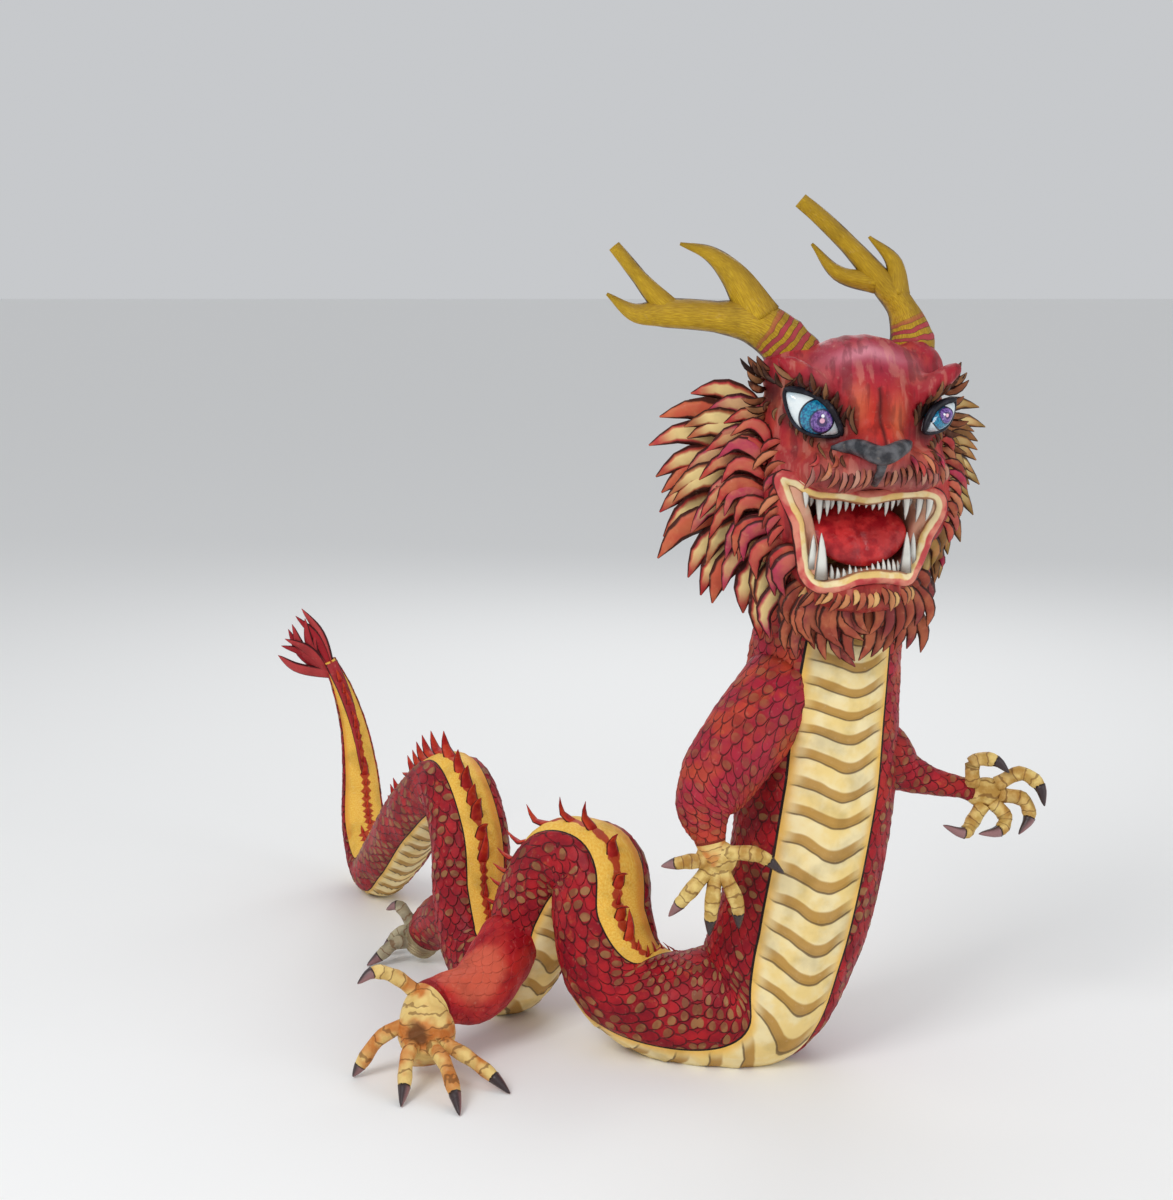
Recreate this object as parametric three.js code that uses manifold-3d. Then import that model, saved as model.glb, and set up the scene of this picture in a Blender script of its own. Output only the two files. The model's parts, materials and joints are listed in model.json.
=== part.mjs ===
// Sand dragon sculpture: one casting of sand and cement. A red dragon stands on the bends of
// its long body and on its hind feet, head and chest raised, antlers up, tail lifted behind.
// Millimetres, +Z up, -Y is the front. The finished solid sits with its underside on z = 0.
import * as THREE from 'three';
import { mergeVertices } from 'three/addons/utils/BufferGeometryUtils.js';
import Module from 'manifold-3d';

const wasm = await Module();
wasm.setup();

// ---- driving sizes -------------------------------------------------------------------------
const GROUND_CUT = 400;          // depth of the slab that levels the underside
const SMALLEST_FACET = 1.6;      // facets flatter than this are merged
const TRUNK_SIDES = 12;          // faces round the trunk
const TRUNK_STEPS_PER_SPAN = 3;  // rings between two trunk stations
const LIMB_SIDES = 7;
const DIGIT_SIDES = 5;
const DIGIT_HALF = 9;            // half thickness of a finger or toe
const CLAW_HALF = 6.5;           // half thickness of a claw at its root
const HEAD_AT = [340, -30, 795]; // head centre
const HEAD_TURN = 8;             // degrees the face is turned to its left
const EYE_SIDE = 77;             // eye centre to the face's middle line
const EYE_FRONT = 92;
const EYE_UP = 82;
const EYE_HALF_RIGHT = [34, 24, 26];
const EYE_HALF_LEFT = [26, 22, 21];
const MOUTH_HALF_TOP = 92;       // half width of the open mouth under the upper lip
const MOUTH_HALF_LOW = 66;       // half width above the lower lip
const MOUTH_TOP = -24;
const MOUTH_LOW = -112;
const LIP_HALF = 10;             // half thickness of the lip roll

// Trunk from the throat to the tail tip:
// x, y, z of the middle line, half width, half depth (belly to back), roll in degrees.
const TRUNK = [
  [345, 20, 800, 60, 56, 19],
  [346, 28, 722, 80, 76, 19],
  [326, 34, 590, 97, 92, 19],
  [315, 30, 478, 105, 99, 19],
  [309, 10, 372, 106, 99, 19],
  [296, -10, 273, 103, 97, 20],
  [272, -20, 172, 101, 96, 30],
  [222, -20, 77, 95, 94, 50],
  [114, -14, 62, 75, 74, 68],
  [45, 0, 100, 72, 68, 54],
  [22, 14, 176, 68, 64, 33],
  [15, 38, 240, 67, 60, 37],
  [-30, 68, 244, 62, 56, 46],
  [-64, 92, 178, 63, 58, 44],
  [-84, 106, 104, 63, 58, 44],
  [-116, 130, 54, 61, 58, 44],
  [-152, 186, 74, 58, 55, 40],
  [-168, 226, 142, 57, 55, 34],
  [-174, 260, 224, 57, 53, 32],
  [-200, 324, 278, 55, 50, 25],
  [-262, 440, 205, 53, 50, 24],
  [-316, 566, 100, 50, 48, 20],
  [-356, 668, 41, 44, 43, 17],
  [-385, 742, 96, 37, 35, 16],
  [-393, 768, 184, 30, 28, 17],
  [-403, 770, 262, 23, 21, 17],
  [-420, 762, 330, 17, 16, 17],
  [-442, 752, 388, 11, 10, 17],
];

const ARM_RIGHT = [
  [262, -8, 510, 54], [214, -56, 456, 56], [170, -96, 404, 50],
  [152, -118, 368, 37], [158, -130, 333, 20], [166, -135, 300, 17],
];
const HAND_RIGHT = { at: [166, -136, 308], half: [26, 14, 23] };
const FINGERS_RIGHT = [
  [[172, -138, 316], [218, -146, 316], [253, -140, 289]],
  [[158, -138, 306], [126, -145, 306], [96, -134, 297]],
  [[158, -138, 296], [128, -146, 262], [106, -134, 230]],
  [[166, -138, 294], [160, -147, 246], [158, -137, 205]],
  [[172, -138, 296], [192, -147, 254], [196, -137, 214]],
];

const ARM_LEFT = [
  [345, 30, 425, 52], [402, 30, 398, 46], [436, 30, 377, 26],
  [470, 24, 366, 18], [505, 18, 360, 14], [534, 14, 352, 15],
];
const HAND_LEFT = { at: [538, 13, 354], half: [28, 14, 20] };
const FINGERS_LEFT = [
  [[520, 10, 366], [520, 3, 400], [546, -5, 403], [564, -12, 388]],
  [[552, 10, 366], [584, 8, 382], [607, 0, 368], [613, -12, 342]],
  [[556, 10, 352], [588, 6, 346], [596, 0, 324], [580, -12, 303]],
  [[548, 8, 342], [564, 2, 322], [556, -6, 307], [526, -14, 304]],
  [[534, 8, 338], [518, 0, 314], [508, -8, 304], [478, -14, 316]],
];

const LEG_RIGHT = [
  [-104, 72, 128, 44], [-122, 36, 106, 45], [-150, -8, 80, 43],
  [-186, -44, 84, 35], [-212, -72, 80, 33], [-216, -94, 50, 31], [-212, -114, 24, 25],
];
const TOES_RIGHT = [
  [[-226, -84, 70], [-272, -102, 52], [-298, -108, 16], [-308, -113, 0]],
  [[-222, -112, 48], [-232, -150, 46], [-234, -178, 18], [-236, -206, 0]],
  [[-206, -114, 48], [-184, -160, 42], [-168, -200, 18], [-160, -232, 0]],
  [[-196, -104, 50], [-156, -132, 38], [-122, -148, 18], [-99, -166, 0]],
  [[-226, -70, 102], [-254, -84, 130], [-280, -96, 140], [-300, -106, 128]],
];

const LEG_LEFT = [
  [-168, 210, 110, 46], [-200, 262, 92, 44], [-228, 304, 68, 36],
  [-246, 322, 42, 30], [-258, 330, 22, 25],
];
const TOES_LEFT = [
  [[-256, 322, 40], [-272, 336, 64], [-290, 346, 82], [-308, 350, 74]],
  [[-258, 328, 34], [-282, 338, 44], [-300, 344, 26], [-320, 346, 0]],
  [[-256, 320, 30], [-290, 312, 34], [-314, 306, 16], [-334, 302, 0]],
  [[-252, 336, 30], [-272, 372, 34], [-284, 396, 16], [-292, 416, 0]],
];

// Antlers: x, y, z, half thickness along each branch.
const ANTLERS = [
  [[284, -34, 915, 36], [255, -42, 956, 33], [216, -42, 984, 29], [164, -38, 992, 20],
    [100, -30, 996, 19], [62, -24, 996, 12], [26, -18, 1020, 2]],
  [[108, -30, 997, 17], [68, -26, 1040, 10], [35, -22, 1080, 8]],
  [[220, -42, 990, 28], [188, -40, 1042, 18], [156, -38, 1070, 10], [118, -36, 1083, 2]],
  [[410, 0, 896, 32], [421, 4, 954, 30], [407, 6, 1001, 19], [386, 10, 1028, 17],
    [339, 16, 1080, 12], [300, 20, 1117, 11], [275, 22, 1138, 10]],
  [[374, 12, 1034, 15], [324, 14, 1046, 10], [290, 16, 1083, 2]],
  [[400, 8, 1018, 17], [396, 10, 1058, 11], [363, 12, 1092, 2]],
];

// Mane: direction round the face in degrees (0 = the face's left, 90 = up) and reach.
const MANE_REACH = [
  [-206, 222], [-180, 250], [-150, 256], [-125, 246], [-90, 236],
  [-60, 206], [-35, 190], [-10, 186], [16, 186],
];
const MANE_ROOT = 108;           // flames start this far from the head's middle
const BEARD_FRONT = 92;          // flames under the chin hang this much further forward
const MANE_LAYERS = [
  { count: 20, from: 16, to: -205, reach: 1, front: -30, back: -58, half: 19 },
  { count: 9, from: -8, to: -188, reach: 0.8, front: 4, back: -14, half: 17 },
];
const FLAME_FLAT = 0.55;
const FLAME_CURL = 7;

const SPIKE_PITCH = 34;          // along the back
const SPIKE_TALL = 34;
const SPIKE_LEAN = 30;
const SPIKE_HALF = 13;
const SPIKE_FLAT = 0.75;
const SPIKE_SINK = 8;            // root let into the back
const TAIL_TUFT_TIPS = [
  [-484, 744, 474], [-500, 738, 448], [-512, 732, 424], [-524, 730, 396],
  [-474, 752, 446], [-462, 742, 430],
];

// ---- shape helpers -------------------------------------------------------------------------
const vec = (p) => new THREE.Vector3(p[0], p[1], p[2]);

// Closed solid from a three.js geometry, with seams welded and pole slivers left out.
function solid(geometry) {
  const bare = geometry.clone();
  bare.deleteAttribute('normal');
  bare.deleteAttribute('uv');
  const welded = mergeVertices(bare, 1e-3);
  const index = welded.index.array;
  const kept = [];
  for (let i = 0; i < index.length; i += 3) {
    const [a, b, c] = [index[i], index[i + 1], index[i + 2]];
    if (a !== b && b !== c && a !== c) kept.push(a, b, c);
  }
  const make = (triangles) => new wasm.Manifold(new wasm.Mesh({
    numProp: 3,
    vertProperties: new Float32Array(welded.attributes.position.array),
    triVerts: new Uint32Array(triangles),
  }));
  const body = make(kept);
  return body.volume() > 0 ? body : make(kept.reverse());
}

// Tube bent along a smooth line. place(u) gives the centre, the two section axes and their sizes.
function sweep(sides, steps, place) {
  const profile = [new THREE.Vector2(0, 0)];
  for (let i = 0; i <= steps; i += 1) profile.push(new THREE.Vector2(1, i));
  profile.push(new THREE.Vector2(0, steps));
  const geometry = new THREE.LatheGeometry(profile, sides);
  const position = geometry.attributes.position;
  for (let i = 0; i < position.count; i += 1) {
    const station = place(position.getY(i) / steps);
    const point = station.centre.clone()
      .addScaledVector(station.wide, position.getX(i) * station.halfWide)
      .addScaledVector(station.deep, position.getZ(i) * station.halfDeep);
    position.setXYZ(i, point.x, point.y, point.z);
  }
  const body = solid(geometry);
  return body;
}

// Tapering branch through [x, y, z, half] points; flat squeezes it along the given direction.
function branch(points, sides, stepsPerSpan, squeeze = null, flat = 1) {
  const line = new THREE.CatmullRomCurve3(points.map(vec), false, 'centripetal');
  const halves = points.map((p) => p[3]);
  const steps = (points.length - 1) * stepsPerSpan;
  const reference = squeeze ?? new THREE.Vector3(0.31, -0.2, 0.93);
  return sweep(sides, steps, (u) => {
    const along = line.getTangent(u);
    const deep = reference.clone().addScaledVector(along, -reference.dot(along)).normalize();
    const wide = new THREE.Vector3().crossVectors(deep, along);
    const slot = Math.min(Math.floor(u * (halves.length - 1)), halves.length - 2);
    const part = u * (halves.length - 1) - slot;
    const half = THREE.MathUtils.lerp(halves[slot], halves[slot + 1], part);
    return { centre: line.getPoint(u), wide, deep, halfWide: half, halfDeep: half * flat };
  });
}

function egg(at, half, across = 12, high = 8, turn = [0, 0, 0]) {
  const geometry = new THREE.SphereGeometry(1, across, high);
  geometry.rotateX(Math.PI / 2);
  geometry.scale(half[0], half[1], half[2]);
  geometry.rotateX(THREE.MathUtils.degToRad(turn[0]));
  geometry.rotateY(THREE.MathUtils.degToRad(turn[1]));
  geometry.rotateZ(THREE.MathUtils.degToRad(turn[2]));
  geometry.translate(at[0], at[1], at[2]);
  return solid(geometry);
}

// ---- trunk ---------------------------------------------------------------------------------
const trunkLine = new THREE.CatmullRomCurve3(TRUNK.map(vec), false, 'centripetal');
const trunkSizes = new THREE.CatmullRomCurve3(
  TRUNK.map((p) => new THREE.Vector3(p[3], p[4], p[5])), false, 'catmullrom', 0.5);

// Section of the trunk at u: deep points to the back ridge, wide to the side.
function trunkAt(u) {
  const size = trunkSizes.getPoint(u);
  const roll = THREE.MathUtils.degToRad(size.z);
  const along = trunkLine.getTangent(u);
  const axle = new THREE.Vector3(Math.cos(roll), Math.sin(roll), 0);
  const deep = new THREE.Vector3().crossVectors(axle, along).normalize();
  const wide = new THREE.Vector3().crossVectors(deep, along);
  return { centre: trunkLine.getPoint(u), along, wide, deep, halfWide: size.x, halfDeep: size.y };
}

function trunk() {
  return sweep(TRUNK_SIDES, (TRUNK.length - 1) * TRUNK_STEPS_PER_SPAN, trunkAt);
}

// Row of flat flame-shaped spikes down the middle of the back.
function backSpikes() {
  const spikes = [];
  const spans = TRUNK.length - 1;
  const samples = spans * 24;
  let travelled = 0;
  let last = trunkLine.getPoint(2 / spans);
  for (let i = Math.round(samples * 2 / spans); i < samples * 0.985; i += 1) {
    const station = trunkAt(i / samples);
    travelled += station.centre.distanceTo(last);
    last = station.centre;
    if (travelled < SPIKE_PITCH) continue;
    travelled = 0;
    const grow = 0.45 + 0.55 * Math.min(1, station.halfDeep / 50);
    const lean = station.deep.clone().multiplyScalar(SPIKE_TALL)
      .addScaledVector(station.along, SPIKE_LEAN).multiplyScalar(grow);
    const geometry = new THREE.ConeGeometry(SPIKE_HALF * grow, 1, 4);
    geometry.translate(0, 0.5, 0);
    const root = station.centre.clone()
      .addScaledVector(station.deep, station.halfDeep - SPIKE_SINK * grow);
    const frame = new THREE.Matrix4().makeBasis(
      station.along, lean.multiplyScalar(1 + SPIKE_SINK / SPIKE_TALL),
      station.wide.clone().multiplyScalar(SPIKE_FLAT));
    geometry.applyMatrix4(frame.setPosition(root));
    spikes.push(solid(geometry));
  }
  return spikes;
}

// ---- limbs ---------------------------------------------------------------------------------
// A finger or toe ends in a bent claw: the last span tapers to a point.
function digit(points) {
  const last = points.length - 1;
  const sized = points.map((p, i) => {
    if (i === last) return [...p, 1.2];
    if (i === last - 1) return [...p, CLAW_HALF + 1];
    return [...p, DIGIT_HALF];
  });
  return branch(sized, DIGIT_SIDES, points.length > 3 ? 1 : 2);
}

function limbs() {
  const parts = [
    branch(ARM_RIGHT, LIMB_SIDES, 2),
    egg(HAND_RIGHT.at, HAND_RIGHT.half, 8, 6),
    branch(ARM_LEFT, LIMB_SIDES, 2),
    egg(HAND_LEFT.at, HAND_LEFT.half, 8, 6),
    branch(LEG_RIGHT, LIMB_SIDES, 2),
    branch(LEG_LEFT, LIMB_SIDES, 2),
  ];
  [...FINGERS_RIGHT, ...FINGERS_LEFT, ...TOES_RIGHT, ...TOES_LEFT]
    .forEach((points) => parts.push(digit(points)));
  return parts;
}

function tailTuft() {
  const root = vec(TRUNK[TRUNK.length - 1]);
  return TAIL_TUFT_TIPS.map((tip, i) => {
    const bow = i < 4 ? -8 : 8;
    const middle = root.clone().lerp(vec(tip), 0.5).add(new THREE.Vector3(bow, 0, bow));
    const start = root.clone().add(new THREE.Vector3(6, 4, -18));
    return branch([[...start.toArray(), 10], [...middle.toArray(), 9], [...tip, 1.2]], 4, 1);
  });
}

// ---- head (worked in its own frame: side, front, up from the head centre) --------------------
function toHead(body) {
  const [x, y, z] = HEAD_AT;
  return body.rotate([0, 0, HEAD_TURN]).translate([x, y, z]);
}

// Head-frame point as side, front, up; front is -Y before the turn.
const face = (side, front, up) => [side, -front, up];

function flame(angle, reach, layer) {
  const turn = THREE.MathUtils.degToRad(angle);
  const forward = BEARD_FRONT * Math.max(0, -Math.sin(turn)) ** 3;
  const front = layer.front + forward;
  const back = layer.back + forward;
  const half = layer.half;
  const length = reach - MANE_ROOT;
  const out = new THREE.Vector3(Math.cos(turn), 0, Math.sin(turn));
  const curl = new THREE.Vector3(-Math.sin(turn), 0, Math.cos(turn));
  const upward = Math.sign(Math.cos(turn)) || 1;
  const at = (r, depth, bend) => out.clone().multiplyScalar(r)
    .addScaledVector(curl, bend * upward)
    .add(new THREE.Vector3(0, -depth, 0)).toArray();
  const flatWay = new THREE.Vector3(0, 1, 0).addScaledVector(out, 0.5).normalize();
  return branch([
    [...at(reach - length, front, 0), half],
    [...at(reach - length * 0.4, (front + back) / 2, -FLAME_CURL), half * 0.85],
    [...at(reach, back, FLAME_CURL), 1.2],
  ], 4, 1, flatWay, FLAME_FLAT);
}

function reachAt(angle) {
  const keys = MANE_REACH;
  for (let i = 1; i < keys.length; i += 1) {
    if (angle <= keys[i][0]) {
      const part = (angle - keys[i - 1][0]) / (keys[i][0] - keys[i - 1][0]);
      return THREE.MathUtils.lerp(keys[i - 1][1], keys[i][1], Math.max(part, 0));
    }
  }
  return keys[keys.length - 1][1];
}

function mane() {
  const flames = [];
  MANE_LAYERS.forEach((layer, level) => {
    for (let i = 0; i < layer.count; i += 1) {
      const step = (layer.to - layer.from) / (layer.count - 1);
      const angle = layer.from + step * i;
      const swing = 1 + 0.05 * Math.sin(i * 2.4 + level);
      const reach = reachAt(angle) * layer.reach * swing;
      flames.push(flame(angle, reach, layer));
    }
  });
  return flames;
}

// Outline of the open mouth, read clockwise from the face's right corner.
function mouthOutline() {
  const low = MOUTH_HALF_LOW;
  const top = MOUTH_HALF_TOP;
  return [
    face(-top - 16, 42, MOUTH_TOP + 20), face(-top * 0.5, 118, MOUTH_TOP + 6),
    face(0, 148, MOUTH_TOP - 2), face(top * 0.5, 118, MOUTH_TOP + 6),
    face(top + 16, 42, MOUTH_TOP + 12), face(top + 2, 52, MOUTH_TOP - 24),
    face(low + 8, 74, MOUTH_LOW + 28), face(low - 6, 92, MOUTH_LOW - 8),
    face(low * 0.4, 118, MOUTH_LOW - 6), face(-low * 0.4, 118, MOUTH_LOW - 6),
    face(-low + 6, 92, MOUTH_LOW - 8), face(-low - 8, 74, MOUTH_LOW + 28),
    face(-top - 2, 52, MOUTH_TOP - 20),
  ];
}

function lipRoll() {
  const line = new THREE.CatmullRomCurve3(mouthOutline().map(vec), true, 'centripetal');
  return solid(new THREE.TubeGeometry(line, 28, LIP_HALF, 5, true));
}

function mouthHollow() {
  const outline = new THREE.Shape();
  const top = MOUTH_HALF_TOP;
  const low = MOUTH_HALF_LOW;
  outline.moveTo(-top, MOUTH_TOP + 8);
  outline.lineTo(0, MOUTH_TOP - 2);
  outline.lineTo(top, MOUTH_TOP + 8);
  outline.lineTo(top - 6, MOUTH_TOP - 26);
  outline.lineTo(low, MOUTH_LOW + 20);
  outline.lineTo(low - 12, MOUTH_LOW);
  outline.lineTo(-low + 12, MOUTH_LOW);
  outline.lineTo(-low, MOUTH_LOW + 20);
  outline.lineTo(-top + 6, MOUTH_TOP - 26);
  outline.closePath();
  const depth = 200;
  const geometry = new THREE.ExtrudeGeometry(outline, { depth, bevelEnabled: false });
  geometry.rotateX(Math.PI / 2);
  geometry.translate(0, -20, 0);
  return solid(geometry);
}

function tooth(side, front, up, tall, half, down) {
  const geometry = new THREE.ConeGeometry(half, tall, 5);
  geometry.rotateX(down ? -Math.PI / 2 : Math.PI / 2);
  geometry.translate(...face(side, front, up + (down ? -tall / 2 : tall / 2)));
  return solid(geometry);
}

function teeth() {
  const set = [];
  for (let i = -2; i <= 2; i += 1) {
    const front = 142 - Math.abs(i) * 13;
    set.push(tooth(i * 20, front, MOUTH_TOP + 2, 24, 7, true));
    set.push(tooth(i * 15, front - 30, MOUTH_LOW - 6, 20, 6, false));
  }
  [-1, 1].forEach((hand) => {
    set.push(tooth(hand * 60, 98, MOUTH_TOP + 4, 46, 9, true));
    set.push(tooth(hand * 50, 84, MOUTH_LOW - 8, 52, 10, false));
  });
  return set;
}

function head() {
  const skull = [
    egg(face(0, 4, 62), [126, 108, 112], 12, 8),
    egg(face(0, -4, -48), [124, 100, 112], 12, 8),
    egg(face(0, 88, 22), [56, 76, 42], 10, 6),
    egg(face(0, 70, 96), [58, 58, 56], 10, 6),
    egg(face(0, 66, -134), [74, 54, 30], 10, 6),
    egg(face(-54, 84, 0), [48, 58, 34], 10, 6),
    egg(face(54, 84, 0), [48, 58, 34], 10, 6),
    egg(face(-74, 88, 114), [50, 28, 15], 8, 6, [0, 24, 0]),
    egg(face(70, 88, 112), [44, 28, 15], 8, 6, [0, -24, 0]),
  ];
  let body = wasm.Manifold.union(skull).subtract(mouthHollow());
  const additions = [
    lipRoll(), ...teeth(), ...mane(),
    egg(face(0, 56, -80), [50, 54, 15], 12, 6, [-22, 0, 0]),
    egg(face(0, 152, 36), [50, 18, 15], 10, 6),
    egg(face(-EYE_SIDE, EYE_FRONT, EYE_UP), EYE_HALF_RIGHT, 10, 6, [0, 20, 0]),
    egg(face(EYE_SIDE, EYE_FRONT, EYE_UP), EYE_HALF_LEFT, 10, 6, [0, -20, 0]),
  ];
  body = wasm.Manifold.union([body, ...additions]);
  return toHead(body);
}

// ---- assembly ------------------------------------------------------------------------------
function dragonSolid() {
  const parts = [
    trunk(), ...backSpikes(), ...limbs(), ...tailTuft(), head(),
    ...ANTLERS.map((points) => branch(points, 6, points.length > 4 ? 2 : 1)),
  ];
  const whole = wasm.Manifold.union(parts);
  const slab = new THREE.BoxGeometry(4000, 4000, GROUND_CUT);
  slab.translate(0, 0, -GROUND_CUT / 2);
  const level = whole.subtract(solid(slab)).simplify(SMALLEST_FACET);
  // The joins leave loose crumbs under 1 mm; the casting is the one large body.
  return level.decompose().sort((a, b) => b.volume() - a.volume())[0];
}

function toMesh(body, name, look) {
  const mesh = body.getMesh();
  const geometry = new THREE.BufferGeometry();
  const positions = new Float32Array(mesh.vertProperties);
  geometry.setAttribute('position', new THREE.BufferAttribute(positions, 3));
  geometry.setIndex(new THREE.BufferAttribute(new Uint32Array(mesh.triVerts), 1));
  geometry.computeBoundingBox();
  const box = geometry.boundingBox;
  geometry.translate(-(box.min.x + box.max.x) / 2, -(box.min.y + box.max.y) / 2, -box.min.z);
  geometry.computeVertexNormals();
  const part = new THREE.Mesh(geometry, new THREE.MeshStandardMaterial(look));
  part.name = name;
  return part;
}

const dragon = new THREE.Group();
dragon.name = 'sand_dragon';
dragon.add(toMesh(dragonSolid(), 'dragon', { color: 0xa51f2b, roughness: 0.6, metalness: 0 }));

export default dragon;
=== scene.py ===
"""Looks of the sand dragon sculpture: one cast body, carved, then painted by hand.

Sizes are worked in millimetres in the maker's frame (x to the viewer's right, y to the rear,
z up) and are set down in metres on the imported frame's box at the end of each shape.
"""

import json
import math
import random

import bmesh
import bpy
from mathutils import Matrix, Vector, noise
from mathutils.bvhtree import BVHTree

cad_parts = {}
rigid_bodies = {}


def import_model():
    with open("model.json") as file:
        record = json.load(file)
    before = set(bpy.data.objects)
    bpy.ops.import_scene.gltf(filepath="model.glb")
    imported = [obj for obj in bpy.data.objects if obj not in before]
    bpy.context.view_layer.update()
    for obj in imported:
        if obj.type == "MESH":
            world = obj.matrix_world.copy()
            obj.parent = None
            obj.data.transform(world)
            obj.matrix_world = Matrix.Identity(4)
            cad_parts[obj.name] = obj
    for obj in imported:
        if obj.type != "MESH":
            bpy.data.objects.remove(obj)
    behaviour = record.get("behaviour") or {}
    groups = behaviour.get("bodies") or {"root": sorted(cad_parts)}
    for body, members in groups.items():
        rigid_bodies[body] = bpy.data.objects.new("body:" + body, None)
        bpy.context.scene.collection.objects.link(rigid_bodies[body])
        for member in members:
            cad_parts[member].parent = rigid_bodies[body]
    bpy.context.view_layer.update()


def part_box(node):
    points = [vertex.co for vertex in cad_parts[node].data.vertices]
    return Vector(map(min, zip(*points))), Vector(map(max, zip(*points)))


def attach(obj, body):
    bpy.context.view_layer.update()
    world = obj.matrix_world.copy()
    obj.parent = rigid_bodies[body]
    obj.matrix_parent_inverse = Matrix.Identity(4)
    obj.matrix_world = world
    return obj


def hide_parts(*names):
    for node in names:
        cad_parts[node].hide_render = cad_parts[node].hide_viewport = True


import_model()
rng = random.Random(7)

# ---- where the maker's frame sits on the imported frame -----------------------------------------
RIGHT_CLAW_TIP = 613.0
FRONT_TOE_TIP = -232.5
box_low, box_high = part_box("dragon")
SHIFT = Vector((box_high.x * 1000 - RIGHT_CLAW_TIP, box_low.y * 1000 - FRONT_TOE_TIP, 0))

# ---- paints, in the order of the piece's material slots ---------------------------------------
PAINTS = (
    "scales", "gold_back", "belly", "ink", "antler", "claw", "digits", "face", "flames",
    "eye", "teeth", "tongue", "mouth", "lips", "nose", "hair", "spikes", "tuft", "lid",
)
SLOT = {name: i for i, name in enumerate(PAINTS)}

# ---- body: x, y, z, half width, half depth, roll of each station -------------------------------
TRUNK = [
    (345, 20, 800, 60, 56, 19), (346, 28, 722, 80, 76, 19), (326, 34, 590, 97, 92, 19),
    (315, 30, 478, 105, 99, 19), (309, 10, 372, 106, 99, 19), (296, -10, 273, 103, 97, 20),
    (272, -20, 172, 101, 96, 30), (222, -20, 77, 95, 94, 50), (114, -14, 62, 75, 74, 68),
    (45, 0, 100, 72, 68, 54), (22, 14, 176, 68, 64, 33), (15, 38, 240, 67, 60, 37),
    (-30, 68, 244, 62, 56, 46), (-64, 92, 178, 63, 58, 44), (-84, 106, 104, 63, 58, 44),
    (-116, 130, 54, 61, 58, 44), (-152, 186, 74, 58, 55, 40), (-168, 226, 142, 57, 55, 34),
    (-174, 260, 224, 57, 53, 32), (-200, 324, 278, 55, 50, 25), (-262, 440, 205, 53, 50, 24),
    (-316, 566, 100, 50, 48, 20), (-356, 668, 41, 44, 43, 17), (-385, 742, 96, 37, 35, 16),
    (-393, 768, 184, 30, 28, 17), (-403, 770, 262, 23, 21, 17), (-420, 762, 330, 17, 16, 17),
    (-442, 752, 388, 11, 10, 17),
]
RING_STEP = 6.1          # along the body
BELLY_HALF_ANGLE = 36
INK_ANGLE = 2.2          # painted line between two bands
# at each station: how far the belly and the back band are turned, and the back band's half width
BAND_TURN = [
    (2, 0, 33), (3, 0, 33), (4, 0, 33), (6, 2, 33), (9, 5, 33), (14, 12, 31), (24, 26, 26),
    (32, 44, 20), (28, 48, 19), (14, 14, 27), (4, 0, 33), (0, 0, 34), (4, 0, 34),
    (8, 0, 33), (8, 0, 33), (6, 0, 33), (0, 0, 33), (0, 0, 33), (0, 0, 33), (0, 0, 33),
    (0, 0, 33), (0, 0, 36), (0, 0, 60), (0, 0, 70), (0, 0, 70), (0, 0, 70), (0, 0, 70),
    (0, 0, 70),
]
STRIP_OFF = -0.27        # the red strip lies off the back band's middle, up to the tail
TAIL_FROM = 0.84         # share of the body's length
SCALE_WIDE = 18.0        # width, length and height of one scale
SCALE_LONG = 14.5
SCALE_RISE = 2.3
BELLY_PITCH = 37.0
BELLY_RISE = 2.8
BELLY_DIP, DIP_TURN = -0.26, 0.9
BELLY_SWAY, SWAY_TURN = 0.10, 1.5
FLANK_COLUMNS = 29       # grid columns between belly and back band

# ---- limbs: x, y, z, half thickness -----------------------------------------------------------
ARM_RIGHT = [
    (262, -8, 510, 54), (214, -56, 456, 56), (170, -96, 404, 50),
    (152, -118, 368, 37), (158, -130, 333, 20), (166, -135, 300, 17),
]
ARM_LEFT = [
    (345, 30, 425, 52), (402, 30, 398, 46), (436, 30, 377, 26),
    (470, 24, 366, 18), (505, 18, 360, 14), (534, 14, 352, 15),
]
LEG_RIGHT = [
    (-104, 72, 128, 44), (-122, 36, 106, 45), (-150, -8, 80, 43),
    (-186, -44, 84, 35), (-212, -72, 80, 33), (-216, -94, 50, 31), (-212, -114, 24, 25),
]
LEG_LEFT = [
    (-168, 210, 110, 46), (-200, 262, 92, 44), (-228, 304, 68, 36),
    (-246, 322, 42, 30), (-258, 330, 22, 25),
]
# palms and the sole of the near foot: middle, half sizes, warmth of the paint
HANDS = [
    ((166, -136, 308), (27, 15, 25), 0.3), ((538, 13, 354), (28, 15, 21), 0.1),
    ((-212, -92, 56), (39, 28, 42), 0.9),
]
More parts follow.
